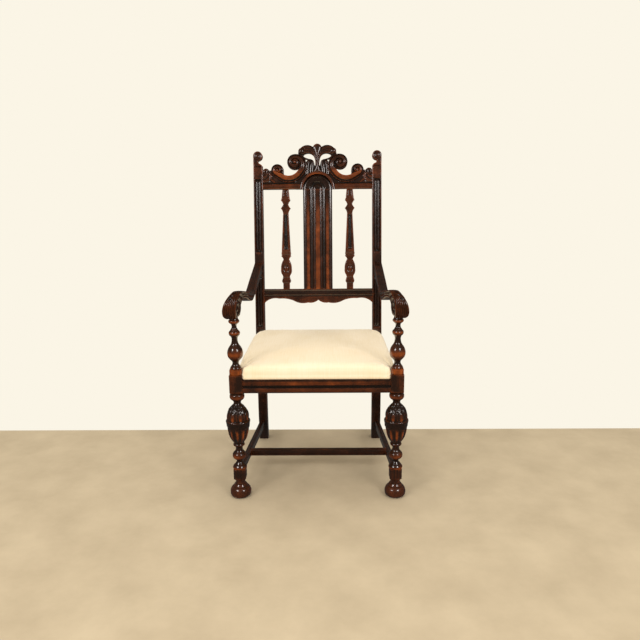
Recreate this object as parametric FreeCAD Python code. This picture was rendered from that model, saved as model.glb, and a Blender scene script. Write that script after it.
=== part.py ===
import FreeCAD, Part
import math
import os

Vector = FreeCAD.Vector

# Joined armchair of stained hardwood with a carved crest, a moulded splat between two
# sawn balusters, scrolled arms on turned supports, bulbous front legs on bun feet,
# an H stretcher and a loose upholstered seat. All lengths are millimetres.
# X runs across the chair, Y from front to back, Z up from the floor.

# Overall plan and heights
leg_spread = 562.0              # between the front legs' axes
leg_to_post = 478.0             # from the front legs' axes to the rear posts' front faces
post_inset = 18.0               # the posts' outer faces stand inward of the legs' axes
rail_top = 450.0                # upper edge of the seat rails
rail_height = 51.0
back_rake_angle = 9.1           # degrees that the back leans from upright

# Fits
tenon_clearance = 0.15          # all round a tenon or dowel in its hole
tenon_end_gap = 1.0             # beyond the end of a tenon or dowel
soft_gap = 0.3                  # between upholstery and wood
overrun = 60.0                  # how far a cutting shape runs past what it cuts
flat_turn = 40.0                # degrees of curve that one flat of a moulding covers
turning_sides = 24              # flats round a turning
dowel_sides = 12
peg_sides = 8

# Front leg
leg_block = 46.0                # square of the block that takes the seat rails
leg_block_bottom = 400.0
leg_block_top = 466.0
lower_block = 44.0              # across the flats of the block that takes the stretcher
lower_block_chamfer = 6.5
lower_block_bottom = 69.0
lower_block_top = 109.5
bulb_radius = 42.5

# Bun foot
foot_radius = 37.8
foot_dowel_radius = 9.0
foot_dowel_length = 21.0

# Arm support
collar_width = 43.0
collar_chamfer = 8.5
collar_height = 19.0
support_top = 668.0             # where the arm lies on it
support_radius = 27.3
support_dowel_radius = 9.0
support_dowel_length = 20.0

# Arm
arm_width_rear = 32.0
arm_scroll_outer = 32.0         # from the leg's axis out to the scroll's outer face
arm_scroll_inner = 15.0         # from the leg's axis in to the scroll's inner face
arm_top_inner = 37.0            # the same at the top of the scroll
arm_top_outer = 10.0            # the top's outer edge lies inward of the leg's axis
scroll_radius = 48.0
scroll_forward = 4.0            # scroll centre ahead of the leg's axis
scroll_start = 75.0             # degrees above level where the arm's top meets the scroll
scroll_flank = 22.0             # the scroll is at its widest this far below its centre
scroll_seat_share = 0.917       # scroll centre above the arm support, share of its radius
scroll_back = 33.0              # the scroll's back behind the leg's axis
neck_rise = 14.0                # the underside meets the scroll's back above its centre
arm_low_back = 160.0            # the arm's lowest underside behind the leg's axis
arm_low_rise = 22.0             # heights above the arm support
arm_rise_back = 300.0           # the arm runs straight from here to the post
arm_top_rise = 68.0
arm_end_rise = 105.0            # upper edge where the arm meets the post
arm_thickness_post = 38.0
arm_sweep_front = 18.0          # the plan's sweep runs between these two places
arm_sweep_back = 62.0
arm_straight_back = 130.0
eye_radius = 8.0
eye_height = 3.0
arm_dowel_radius = 5.0
arm_dowel_length = 46.0
arm_dowel_spacing = 18.0

# Rear post
post_width = 37.0
post_depth = 43.0
post_top_depth = 34.0
post_top = 756.0                # along the rake, from the bend to the top of the scroll
bend_rise = 25.5                # the rake starts this far above the seat rails
bend_run = 17.0
kick_height = 138.0
foot_kick = 14.0                # how far the foot of the post stands back
foot_depth = 40.0
channel_width = 24.0
channel_depth = 5.0
reed_radius = 4.6
reed_height = 4.0
reed_offset = 5.6
channel_bottom = 30.0           # lower channel, along the rake from the bend
channel_top = 248.0
upper_channel_bottom = 342.0
upper_channel_top = 646.0

# Seat rails
rail_thickness = 22.0
front_rail_setback = 5.0        # behind the blocks' front faces
side_rail_inset = 7.0           # rail centre inward of the leg's axis
side_rail_rear_inset = 7.0      # rail centre outward of the post's centre
rear_rail_setback = 4.0
rail_tenon_thickness = 10.0
rail_tenon_length = 26.0
side_tenon_length = 19.0
rail_tenon_cut = 8.0            # taken off above and below
bead_height = 10.0
bead_depth = 4.0
bead_groove = 3.0

# Stretchers
stretcher_width = 22.0
stretcher_height = 25.0
stretcher_bottom = 79.5         # at the front legs
stretcher_fall = 12.0           # lower at the rear posts
stretcher_edge = 5.0
stretcher_outset = 3.0          # outward of the legs' middle lines
stretcher_tenon_width = 10.0
stretcher_tenon_cut = 5.0
stretcher_tenon_front = 12.0
stretcher_tenon_rear = 18.0
cross_back = 165.0              # from the leg's axis to the cross stretcher's front face
cross_tenon = 11.0
cross_groove = 2.5
cross_groove_height = 9.0

# Lower back rail, along the rake from the bend
lower_rail_top = 191.0
lower_rail_setback = 5.0
lower_rail_thickness = 23.0
lower_rail_deepest = 59.0       # from its top to its lowest points
lower_rail_fillet = 3.0
lower_rail_fillet_drop = 23.6   # of its lower edge from the rail's top
back_tenon_length = 22.0
back_tenon_thickness = 9.0

# Crest rail, along the rake from the bend
crest_bottom = 602.5
crest_height = 183.5
crest_setback = 7.0             # ground of the carving behind the posts' faces
crest_thickness = 20.0
crest_relief = 8.0              # the scrolls stand this far proud of the ground
crest_bead_height = 22.0
crest_bead_bow = 0.36           # share of its height

# Splat
splat_width = 120.0
splat_thickness = 18.0
splat_setback = 7.0
splat_tongue = 8.0
splat_tongue_back = 3.0         # the tongue lies this far in from the splat's back
splat_tongue_length = 14.0

# Balusters beside the splat
spindle_inset = 93.5            # from a post's inner face to a baluster's middle
spindle_half_width = 22.0
spindle_thickness = 18.0
spindle_setback = 8.0
spindle_tenon_width = 14.0
spindle_tenon_length = 14.0
spindle_tenon_thickness = 9.0
spindle_channel_depth = 4.0

# Loose seat
pad_height = 61.0
pad_block_gap = 0.5             # beside the front blocks
pad_rear_inset = 4.0            # inward of the posts' outer faces, at the back
pad_draw_in = 5.0               # at the bottom edge
pad_front_overhang = 3.0        # past the front rail's face
pad_corner_radius = 22.0
pad_notch_radius = 5.0
pad_crown_inset = 200.0         # from the pad's edge to its flat middle
frame_bar_width = 48.0
frame_bar_height = 18.0
frame_front_width = 75.0
frame_inset = 5.0               # the bars stand in from the pad's edges
webbing_width = 50.0
webbing_thickness = 1.6
webbing_lengthways = 5
webbing_crossways = 4
corner_block_leg = 78.0
corner_block_height = 30.0
seat_peg_place = 26.0           # from both rails
seat_peg_radius = 4.5
seat_peg_length = 26.0

# The pad's side and crown: share of its height, inset as a share of the crown's inset
pad_level_shares = [(0.00, 0.025), (0.10, 0.008), (0.30, 0.000), (0.55, 0.004), (0.74, 0.030),
                    (0.85, 0.085), (0.93, 0.230), (0.98, 0.550), (1.00, 1.000)]

# Outlines of the turnings: share of the length, share of the greatest radius
leg_turning_shares = [
    (0.000, 0.500), (0.012, 0.590), (0.042, 0.560), (0.090, 0.254), (0.135, 0.475),
    (0.166, 0.568), (0.200, 0.480), (0.232, 0.310), (0.259, 0.285), (0.298, 0.480),
    (0.320, 0.480), (0.340, 0.455), (0.400, 0.710), (0.503, 0.880), (0.566, 0.925),
    (0.581, 1.000), (0.613, 1.000), (0.632, 0.930), (0.705, 0.920), (0.760, 0.790),
    (0.824, 0.420), (0.858, 0.300), (0.912, 0.555), (0.938, 0.612), (0.972, 0.600),
    (1.000, 0.520),
]
foot_turning_shares = [
    (0.000, 0.640), (0.090, 0.890), (0.275, 1.000), (0.450, 0.930), (0.620, 0.680),
    (0.790, 0.475), (1.000, 0.555),
]
support_turning_shares = [
    (0.000, 0.660), (0.035, 0.670), (0.120, 0.395), (0.195, 0.680), (0.270, 0.960),
    (0.335, 1.000), (0.420, 0.830), (0.500, 0.550), (0.578, 0.372), (0.675, 0.680),
    (0.718, 0.700), (0.745, 0.520), (0.832, 0.308), (0.920, 0.690), (0.950, 0.690),
    (0.972, 0.520), (1.000, 0.480),
]
# Half outline of a baluster: share of its length, share of its half width, and how far
# the stretch up to that point bows, as a share of its chord
spindle_shares = [
    (0.000, 0.610, 0.0), (0.058, 0.610, 0.0), (0.084, 0.830, 0.10), (0.120, 0.630, 0.0),
    (0.146, 0.795, -0.08), (0.200, 1.000, 0.10), (0.298, 0.535, 0.08), (0.328, 0.905, -0.12),
    (0.347, 0.830, 0.0), (0.374, 0.830, 0.12), (0.387, 0.830, 0.0), (0.761, 0.500, 0.0),
    (0.811, 0.920, -0.08), (0.850, 0.465, -0.06), (0.890, 0.890, -0.08), (0.912, 0.740, 0.0),
    (1.000, 0.575, 0.0),
]
# Ends of a baluster's channel: share of its length, share of its half width
spindle_channel_shares = [(0.400, 0.360), (0.745, 0.200)]
# Half outline of the lower back rail's shaped edge: share of half its length,
# share of its deepest part, bow
lower_rail_shares = [(1.00, 1.00, 0.0), (0.72, 0.68, -0.14), (0.46, 0.82, -0.06),
                     (0.19, 0.97, 0.10), (0.00, 0.78, 0.12)]
# Half section of the splat from its edge to its middle: share of half its width,
# share of its thickness taken off the front, bow
splat_section_shares = [
    (1.00, 0.30, 0.0), (0.80, 0.14, -0.10), (0.79, 0.24, 0.0), (0.56, 0.24, 0.0),
    (0.55, 0.14, 0.0), (0.31, 0.16, -0.22), (0.16, 0.10, 0.30), (0.16, 0.03, 0.0),
]

# Carving of the crest, in shares of its height: discs and bands as place across from the
# middle, place up from the lower edge, radius or radii, and for a band its two angles
end_leaf_shares = (0.078, 0.382)
small_scroll_shares = (0.897, 0.417, 0.139)
scroll_ring_shares = (0.649, 0.553, 0.409, 0.251)
scroll_ring_angles = (200.0, 341.0)
scroll_turn_shares = (0.490, 0.526, 0.251, 0.125)
scroll_turn_angles = (-25.0, 95.0)
large_volute_shares = (0.507, 0.600, 0.170)
bridge_shares = (0.362, 0.738, 0.050)
leaf_shares = (0.222, 0.761, 0.210)
leaf_low_share = 0.655
leaf_curl_shares = (0.356, 0.839, 0.068)
opening_shares = (0.202, 0.738, 0.164, 0.118)
lobe_shares = (0.000, 0.902, 0.098)
husk_shares = (0.131, 0.553, 0.125)
husk_block_share = 0.53
stem_shares = (0.052, 0.300, 0.880)
plate_shares = (0.16, 0.32)     # heights of the ground under the scrolls and under the turns
slit_shares = (0.354, 0.608, 0.322, 0.288)
slit_angles = (-18.0, 30.0)
arch_ring_share = 0.055
volute_groove_shares = (0.45, 0.70)
volute_eye_share = 0.24
volute_depth_shares = (0.60, 0.25)
# Scroll at the top of a post, in shares of the post's width: place across from the inner
# face and place down from the top
ear_shares = {"radius": 0.5, "under": (0.50, 1.00), "tip": (0.45, 1.24), "shoulder": (0.0, 1.62)}

# Places worked out from the sizes above
rake = math.radians(back_rake_angle)
arm_front_reach = scroll_radius + scroll_forward
rear_reach = leg_to_post + post_top * math.sin(rake) + post_top_depth * math.cos(rake)
leg_y = -(rear_reach - arm_front_reach) / 2
leg_x = leg_spread / 2
post_front = leg_y + leg_to_post
post_outer = leg_x - post_inset
post_inner = post_outer - post_width
post_x = post_outer - post_width / 2
bend_height = rail_top + bend_rise
scroll_height = support_top + scroll_radius * scroll_seat_share
scroll_neck = scroll_height + neck_rise
arm_low_under = support_top + arm_low_rise
arm_rise_top = support_top + arm_top_rise
arm_post_top = support_top + arm_end_rise
spindle_offset = post_inner - spindle_inset
block_half = leg_block / 2
block_back = leg_y + block_half
rail_bottom = rail_top - rail_height


def segment(a, b):
    return Part.LineSegment(a, b).toShape()


def bowed(a, b, side, bow):
    """A straight edge, or an arc that bows towards side by a share of its chord."""
    if bow == 0:
        return segment(a, b)
    middle = (a + b) / 2 + side * (bow * a.distanceToPoint(b))
    return Part.Arc(a, middle, b).toShape()


def chain(points, across):
    """Edges through points given as (vector, bow); across is the outline's normal."""
    edges = []
    for (a, _), (b, bow) in zip(points, points[1:]):
        side = (b - a).cross(across)
        side.normalize()
        edges.append(bowed(a, b, side, bow))
    return edges


def flats(points, across):
    """Points along an outline, its arcs laid out as short straight stretches."""
    out = [points[0][0]]
    for (a, _), (b, bow) in zip(points, points[1:]):
        if bow:
            side = (b - a).cross(across)
            side.normalize()
            arc = bowed(a, b, side, bow)
            count = max(2, round(4 * math.atan(2 * abs(bow)) / math.radians(flat_turn)))
            out += arc.discretize(count + 1)[1:]
        else:
            out.append(b)
    return out


def face_of(edges):
    return Part.Face(Part.Wire(edges))


def polygon(points):
    return face_of([segment(a, b) for a, b in zip(points, points[1:] + points[:1])])


def slab(x0, x1, y0, y1, z0, z1):
    return Part.makeBox(x1 - x0, y1 - y0, z1 - z0, Vector(x0, y0, z0))


def mirrored(shape):
    return shape.mirror(Vector(0, 0, 0), Vector(1, 0, 0))


def raked(shape):
    """Moves a shape drawn upright at the origin into the leaning plane of the back.

    There X is across, Y is the depth behind the posts' front faces and Z runs up the rake.
    """
    moved = shape.copy()
    turn = FreeCAD.Rotation(Vector(1, 0, 0), -back_rake_angle)
    moved.Placement = FreeCAD.Placement(Vector(0, post_front, bend_height), turn)
    return moved


def stacked(rings):
    """A solid between outlines that lie one above the other, with flat faces all round."""
    faces = [polygon(rings[0]), polygon(rings[-1])]
    for low, high in zip(rings, rings[1:]):
        for step in range(len(low)):
            following = (step + 1) % len(low)
            faces.append(polygon([low[step], low[following], high[following], high[step]]))
    shell = Part.Shell(faces)
    shell.sewShape()
    solid = Part.Solid(shell)
    if solid.Volume < 0:
        solid.reverse()
    return solid


def turned(x, y, base, length, radius, shares):
    """A turning about a vertical axis."""
    rings = []
    for z, r in shares:
        place = Vector(x, y, base + z * length)
        rings.append(round_outline(place, Vector(0, 0, 1), r * radius, turning_sides))
    return stacked(rings)


def round_outline(centre, way, radius, sides):
    """Corners of an even outline round a point, square to a way."""
    across = Vector(way.z, way.x, way.y) * radius
    turn = 360 / sides
    return [centre + FreeCAD.Rotation(way, turn * (step + 1 / 2)).multVec(across)
            for step in range(sides)]


def dowel(x, y, z0, z1, radius):
    outline = round_outline(Vector(x, y, z0), Vector(0, 0, 1), radius, dowel_sides)
    return polygon(outline).extrude(Vector(0, 0, z1 - z0))


def dowel_hole(x, y, z0, z1, radius, gap_below=0.0, gap_above=0.0):
    return dowel(x, y, z0 - gap_below, z1 + gap_above, radius + tenon_clearance)


def peg(start, way, length, radius):
    """An eight-sided peg from a point along a way."""
    return polygon(round_outline(start, way, radius, peg_sides)).extrude(way * length)


def chamfered_square(x, y, width, chamfer, z0, z1):
    half = width / 2
    flat = half - chamfer
    corners = [(half, flat), (flat, half), (-flat, half), (-half, flat),
               (-half, -flat), (-flat, -half), (flat, -half), (half, -flat)]
    outline = [Vector(x + a, y + b, z0) for a, b in corners]
    return polygon(outline).extrude(Vector(0, 0, z1 - z0))


def upright_section(x, y, z, width, height, grow=0.0):
    half = width / 2 + grow
    low = z - grow
    high = z + height + grow
    return polygon([Vector(x - half, y, low), Vector(x + half, y, low),
                    Vector(x + half, y, high), Vector(x - half, y, high)])


# Side seat rails and side stretchers run from a front leg to a rear post
def point_between(start, end, y):
    return start + (end - start) * ((y - start.y) / (end.y - start.y))


side_rail_start = Vector(leg_x - side_rail_inset, block_back, rail_bottom)
side_rail_end = Vector(post_x + side_rail_rear_inset, post_front, rail_bottom)
stretcher_start = Vector(leg_x + stretcher_outset, leg_y, stretcher_bottom)
stretcher_end = Vector(post_x + stretcher_outset, post_front, stretcher_bottom - stretcher_fall)


def side_tenon(start, end, y0, y1, width, low_cut, height, grow=0.0):
    a = point_between(start, end, y0)
    b = point_between(start, end, y1)
    section = upright_section(a.x, a.y, a.z + low_cut, width, height, grow)
    return section.extrude(b - a)


def side_rail_tenons(grow=0.0, gap=0.0):
    height = rail_height - 2 * rail_tenon_cut
    front = side_tenon(side_rail_start, side_rail_end, block_back - side_tenon_length - gap,
                       block_back, rail_tenon_thickness, rail_tenon_cut, height, grow)
    rear = side_tenon(side_rail_start, side_rail_end, post_front,
                      post_front + side_tenon_length + gap, rail_tenon_thickness,
                      rail_tenon_cut, height, grow)
    return front, rear


def stretcher_tenons(grow=0.0, gap=0.0):
    height = stretcher_height - 2 * stretcher_tenon_cut
    front_end = leg_y + lower_block / 2
    front = side_tenon(stretcher_start, stretcher_end, front_end - stretcher_tenon_front - gap,
                       front_end + tenon_end_gap, stretcher_tenon_width, stretcher_tenon_cut,
                       height, grow)
    rear = side_tenon(stretcher_start, stretcher_end, post_front - tenon_end_gap,
                      post_front + stretcher_tenon_rear + gap, stretcher_tenon_width,
                      stretcher_tenon_cut, height, grow)
    return front, rear


def front_rail_tenon(grow=0.0, gap=0.0):
    """The tenon of the front rail in the right-hand block."""
    y = leg_y - block_half + front_rail_setback + (rail_thickness - rail_tenon_thickness) / 2
    inner = leg_x - block_half
    return slab(inner, inner + rail_tenon_length + gap, y - grow,
                y + rail_tenon_thickness + grow, rail_bottom + rail_tenon_cut - grow,
                rail_top - rail_tenon_cut + grow)


def rear_rail_tenon(grow=0.0, gap=0.0):
    y = post_front + rear_rail_setback + rail_tenon_cut
    return slab(post_inner, post_inner + side_tenon_length + gap, y - grow,
                y + rail_tenon_thickness + grow, rail_bottom + rail_tenon_cut - grow,
                rail_top - rail_tenon_cut + grow)


def back_tenon(setback, thickness, low, high, grow=0.0, gap=0.0):
    """A tenon at the right-hand end of a rail of the back, drawn upright."""
    y = setback + (thickness - back_tenon_thickness) / 2
    return slab(post_inner, post_inner + back_tenon_length + gap, y - grow,
                y + back_tenon_thickness + grow, low - grow, high + grow)


lower_rail_tenon_heights = (lower_rail_top - lower_rail_deepest + rail_tenon_cut,
                            lower_rail_top - rail_tenon_cut)
crest_tenon_heights = (crest_bottom + rail_tenon_cut,
                       crest_bottom + end_leaf_shares[1] * crest_height - rail_tenon_cut)


# Front legs and what stands above and below them
def front_leg():
    turning = turned(leg_x, leg_y, lower_block_top, leg_block_bottom - lower_block_top,
                     bulb_radius, leg_turning_shares)
    upper = slab(leg_x - block_half, leg_x + block_half, leg_y - block_half, block_back,
                 leg_block_bottom, leg_block_top)
    lower = chamfered_square(leg_x, leg_y, lower_block, lower_block_chamfer,
                             lower_block_bottom, lower_block_top)
    leg = turning.fuse([upper, lower])
    holes = [front_rail_tenon(tenon_clearance, tenon_end_gap),
             side_rail_tenons(tenon_clearance, tenon_end_gap)[0],
             stretcher_tenons(tenon_clearance, tenon_end_gap)[0],
             dowel_hole(leg_x, leg_y, lower_block_bottom, lower_block_bottom + foot_dowel_length,
                        foot_dowel_radius, overrun, tenon_end_gap),
             dowel_hole(leg_x, leg_y, leg_block_top - support_dowel_length, leg_block_top,
                        support_dowel_radius, tenon_end_gap, overrun)]
    return leg.cut(holes).removeSplitter()


def bun_foot():
    bun = turned(leg_x, leg_y, 0.0, lower_block_bottom, foot_radius, foot_turning_shares)
    return bun.fuse(dowel(leg_x, leg_y, lower_block_bottom / 2,
                          lower_block_bottom + foot_dowel_length, foot_dowel_radius))


def arm_support():
    collar_top = leg_block_top + collar_height
    collar = chamfered_square(leg_x, leg_y, collar_width, collar_chamfer,
                              leg_block_top, collar_top)
    turning = turned(leg_x, leg_y, collar_top, support_top - collar_top, support_radius,
                     support_turning_shares)
    pin = dowel(leg_x, leg_y, leg_block_top - support_dowel_length, collar_top,
                support_dowel_radius)
    top_pin = dowel(leg_x, leg_y, support_top - support_dowel_length,
                    support_top + support_dowel_length, support_dowel_radius)
    return turning.fuse([collar, pin, top_pin]).removeSplitter()


# Rear posts
def post_side_outline():
    foot_front = post_front + foot_kick
    kick_bow = math.tan(math.atan2(foot_kick, kick_height) / 2) / 2
    bend_bow = math.tan(rake / 4) / 2
    hinge = Vector(0, post_front, bend_height)
    up = Vector(0, math.sin(rake), math.cos(rake))
    back = Vector(0, math.cos(rake), -math.sin(rake))
    back_hinge = Vector(0, post_front + post_depth, bend_height - post_depth * math.tan(rake / 2))
    front = [(Vector(0, foot_front, 0), 0.0),
             (Vector(0, post_front, kick_height), -kick_bow),
             (hinge - Vector(0, 0, bend_run), 0.0),
             (hinge + up * bend_run, bend_bow),
             (hinge + up * post_top, 0.0)]
    rear = [(hinge + up * post_top + back * post_top_depth, 0.0),
            (back_hinge + up * bend_run, 0.0),
            (back_hinge - Vector(0, 0, bend_run), -bend_bow),
            (Vector(0, post_front + post_depth, kick_height), 0.0),
            (Vector(0, foot_front + foot_depth, 0), kick_bow)]
    return chain(front + rear + [front[0]], Vector(-1, 0, 0))


def channel(low, high):
    """Two sunk reeds in a stopped channel on a post's front face, drawn upright."""
    sunk = slab(post_x - channel_width / 2, post_x + channel_width / 2, -overrun, channel_depth,
                low, high)
    reeds = []
    for side in (-reed_offset, reed_offset):
        x = post_x + side
        outline = [Vector(x - reed_radius, channel_depth, low),
                   Vector(x - reed_radius / 2, channel_depth - reed_height, low),
                   Vector(x + reed_radius / 2, channel_depth - reed_height, low),
                   Vector(x + reed_radius, channel_depth, low)]
        reeds.append(polygon(outline).extrude(Vector(0, 0, high - low)))
    return sunk.cut(reeds)


def post_scroll_waste():
    """What is sawn away round the scroll at the top of a post, drawn upright."""
    def at(across, down):
        return Vector(post_inner + across * post_width, 0, post_top - down * post_width)
    radius = ear_shares["radius"]
    shoulder = at(*ear_shares["shoulder"])
    tip = at(*ear_shares["tip"])
    under = at(*ear_shares["under"])
    inner = at(1 - 2 * radius, radius)
    crown = at(1 - radius, 0)
    outer = at(1, radius)
    diagonal = math.sqrt(0.5)
    inner_arc = at(1 - radius - radius * diagonal, radius - radius * diagonal)
    outer_arc = at(1 - radius + radius * diagonal, radius - radius * diagonal)
    low_arc = at(1 - radius - radius * diagonal, radius + radius * diagonal)
    far = overrun / post_width
    outline = [bowed(shoulder, tip, Vector(-1, 0, 0), 0.08),
               segment(tip, under),
               Part.Arc(under, low_arc, inner).toShape(),
               Part.Arc(inner, inner_arc, crown).toShape(),
               Part.Arc(crown, outer_arc, outer).toShape(),
               segment(outer, at(1 + far, radius)),
               segment(at(1 + far, radius), at(1 + far, -far)),
               segment(at(1 + far, -far), at(-far, -far)),
               segment(at(-far, -far), at(-far, ear_shares["shoulder"][1])),
               segment(at(-far, ear_shares["shoulder"][1]), shoulder)]
    waste = face_of(outline).extrude(Vector(0, post_depth + overrun, 0))
    waste.translate(Vector(0, -overrun / 2, 0))
    return waste


def rear_post():
    blank = face_of(post_side_outline()).extrude(Vector(post_width, 0, 0))
    blank.translate(Vector(post_inner, 0, 0))
    cuts = [raked(post_scroll_waste()),
            raked(channel(channel_bottom, channel_top)),
            raked(channel(upper_channel_bottom, upper_channel_top)),
            side_rail_tenons(tenon_clearance, tenon_end_gap)[1],
            stretcher_tenons(tenon_clearance, tenon_end_gap)[1],
            rear_rail_tenon(tenon_clearance, tenon_end_gap),
            raked(back_tenon(lower_rail_setback, lower_rail_thickness, *lower_rail_tenon_heights,
                             tenon_clearance, tenon_end_gap)),
            raked(back_tenon(crest_setback, crest_thickness, *crest_tenon_heights,
                             tenon_clearance, tenon_end_gap))]
    cuts += arm_dowel_pair(tenon_clearance, tenon_end_gap)
    return blank.cut(cuts).removeSplitter()


# Arms
def arm_end_y(height):
    return post_front + (height - bend_height) * math.tan(rake)


def arm_dowel_pair(grow=0.0, gap=0.0):
    """Two dowels that run level from the arm into the post."""
    x = post_outer - arm_width_rear / 2
    middle = arm_post_top - arm_thickness_post / 2
    dowels = []
    for height in (middle - arm_dowel_spacing / 2, middle + arm_dowel_spacing / 2):
        y = arm_end_y(height) - arm_dowel_length / 2 - gap
        dowels.append(peg(Vector(x, y, height), Vector(0, 1, 0), arm_dowel_length + 2 * gap,
                          arm_dowel_radius + grow))
    return dowels


def arm_side_outline():
    """Side view: scroll at the front, low waist, straight rise to the post."""
    centre = Vector(0, leg_y - scroll_forward, scroll_height)

    def on_scroll(degrees):
        angle = math.radians(degrees)
        return centre + Vector(0, math.cos(angle), math.sin(angle)) * scroll_radius

    def at(back, height):
        return Vector(0, leg_y + back, height)
    landing = math.degrees(math.asin((support_top - scroll_height) / scroll_radius))
    past_post = leg_to_post + post_depth + overrun
    rise = (arm_post_top - arm_rise_top) / (arm_end_y(arm_post_top) - leg_y - arm_rise_back)
    end_top = arm_rise_top + rise * (past_post - arm_rise_back)
    under = (arm_post_top - arm_thickness_post - arm_low_under)
    under = under / (arm_end_y(arm_post_top) - leg_y - arm_low_back)
    end_under = arm_low_under + under * (past_post - arm_low_back)
    outline = [(on_scroll(scroll_start), 0.0), (at(arm_rise_back, arm_rise_top), 0.078),
               (at(past_post, end_top), 0.0), (at(past_post, end_under), 0.0),
               (at(arm_low_back, arm_low_under), 0.0),
               (at(scroll_back, scroll_neck), -0.04),
               (on_scroll(landing), -0.16)]
    edges = chain(outline, Vector(1, 0, 0))
    edges += [segment(on_scroll(landing), on_scroll(180 - landing)),
              Part.Arc(on_scroll(180 - landing), on_scroll(2 * scroll_start),
                       on_scroll(scroll_start)).toShape()]
    return edges


def arm_plan():
    """Plan: straight along the post's line, then sweeping out to the scroll."""
    outer = leg_x + arm_scroll_outer
    rear_inner = post_outer - arm_width_rear
    front = leg_y - arm_front_reach - overrun
    rear = post_front + post_depth + overrun * 2
    sweep_front = leg_y + arm_sweep_front
    sweep_back = leg_y + arm_sweep_back
    straight = leg_y + arm_straight_back
    outline = [(Vector(outer, front, 0), 0.0), (Vector(outer, sweep_front, 0), 0.0),
               (Vector(post_outer + eye_height, sweep_back, 0), -0.16),
               (Vector(post_outer, straight, 0), 0.0), (Vector(post_outer, rear, 0), 0.0),
               (Vector(rear_inner, rear, 0), 0.0), (Vector(rear_inner, straight, 0), 0.0),
               (Vector(leg_x - arm_top_inner, leg_y, 0), -0.02),
               (Vector(leg_x - arm_top_inner, front, 0), 0.0), (Vector(outer, front, 0), 0.0)]
    return chain(outline, Vector(0, 0, 1))


def scroll_waste():
    """What the carver takes off both sides of the scroll, which flares as it rolls down."""
    top = scroll_height + scroll_radius + eye_height
    low = support_top - overrun
    front = leg_y - arm_front_reach - overrun
    outer = leg_x + arm_scroll_outer
    inner = leg_x - arm_scroll_inner
    flank = scroll_height - scroll_flank
    outside = [(Vector(outer, front, low), 0.0), (Vector(outer, front, flank), 0.0),
               (Vector(leg_x - arm_top_outer, front, top), 0.16),
               (Vector(leg_x - arm_top_outer, front, top + overrun), 0.0),
               (Vector(outer + overrun, front, top + overrun), 0.0),
               (Vector(outer + overrun, front, low), 0.0), (Vector(outer, front, low), 0.0)]
    inside = [(Vector(inner, front, low), 0.0), (Vector(inner, front, flank), 0.0),
              (Vector(leg_x - arm_top_inner, front, top), 0.20),
              (Vector(leg_x - arm_top_inner - overrun, front, top), 0.0),
              (Vector(leg_x - arm_top_inner - overrun, front, low), 0.0),
              (Vector(inner, front, low), 0.0)]
    long_cut = Vector(0, leg_y + arm_straight_back - front, 0)
    short_cut = Vector(0, leg_y + scroll_back + eye_height - front, 0)
    return [face_of(chain(outside, Vector(0, -1, 0))).extrude(long_cut),
            face_of(chain(inside, Vector(0, -1, 0))).extrude(short_cut)]


def arm():
    side = face_of(arm_side_outline()).extrude(Vector(leg_x, 0, 0))
    side.translate(Vector(leg_x / 2, 0, 0))
    piece = face_of(arm_plan()).extrude(Vector(0, 0, arm_post_top + overrun)).common(side)
    keep = raked(slab(0, leg_spread, -rear_reach, 0, -overrun, post_top))
    piece = piece.common(keep).cut(scroll_waste())
    inner = leg_x - arm_scroll_inner
    eye = Part.makeCylinder(eye_radius, arm_scroll_inner + eye_height,
                            Vector(inner - eye_height, leg_y - scroll_forward * 2,
                                   scroll_height - scroll_radius / 4), Vector(1, 0, 0))
    holes = [dowel_hole(leg_x, leg_y, support_top, support_top + support_dowel_length,
                        support_dowel_radius, overrun, tenon_end_gap)]
    return piece.fuse(eye).cut(holes + arm_dowel_pair(tenon_clearance, tenon_end_gap))


# Seat rails and stretchers
def front_seat_rail():
    front = leg_y - block_half + front_rail_setback
    back = front + rail_thickness
    bead_top = rail_bottom + bead_height
    outline = [(Vector(0, back, rail_bottom), 0.0), (Vector(0, front, rail_bottom), 0.0),
               (Vector(0, front, bead_top), bead_depth / bead_height),
               (Vector(0, front + bead_groove, bead_top), 0.0),
               (Vector(0, front + bead_groove, bead_top + bead_groove), 0.0),
               (Vector(0, front, bead_top + bead_groove), 0.0),
               (Vector(0, front, rail_top), 0.0), (Vector(0, back, rail_top), 0.0),
               (Vector(0, back, rail_bottom), 0.0)]
    length = leg_spread - leg_block
    rail = face_of(chain(outline, Vector(1, 0, 0))).extrude(Vector(length, 0, 0))
    rail.translate(Vector(-length / 2, 0, 0))
    tenon = front_rail_tenon()
    return rail.fuse([tenon, mirrored(tenon)])


def rear_seat_rail():
    y = post_front + rear_rail_setback
    rail = slab(-post_inner, post_inner, y, y + rail_thickness, rail_bottom, rail_top)
    tenon = rear_rail_tenon()
    return rail.fuse([tenon, mirrored(tenon)])


def side_seat_rail():
    section = upright_section(side_rail_start.x, side_rail_start.y, side_rail_start.z,
                              rail_thickness, rail_height)
    rail = section.extrude(side_rail_end - side_rail_start)
    return rail.fuse(side_rail_tenons())


def eased_section(x, y, z):
    """Section of a stretcher with its upper edges taken off."""
    half = stretcher_width / 2
    high = z + stretcher_height
    flat = half - stretcher_edge
    return polygon([Vector(x - half, y, z), Vector(x + half, y, z),
                    Vector(x + half, y, high - stretcher_edge), Vector(x + flat, y, high),
                    Vector(x - flat, y, high), Vector(x - half, y, high - stretcher_edge)])


def cross_height():
    middle = leg_y + cross_back + stretcher_width / 2
    return point_between(stretcher_start, stretcher_end, middle)


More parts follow.
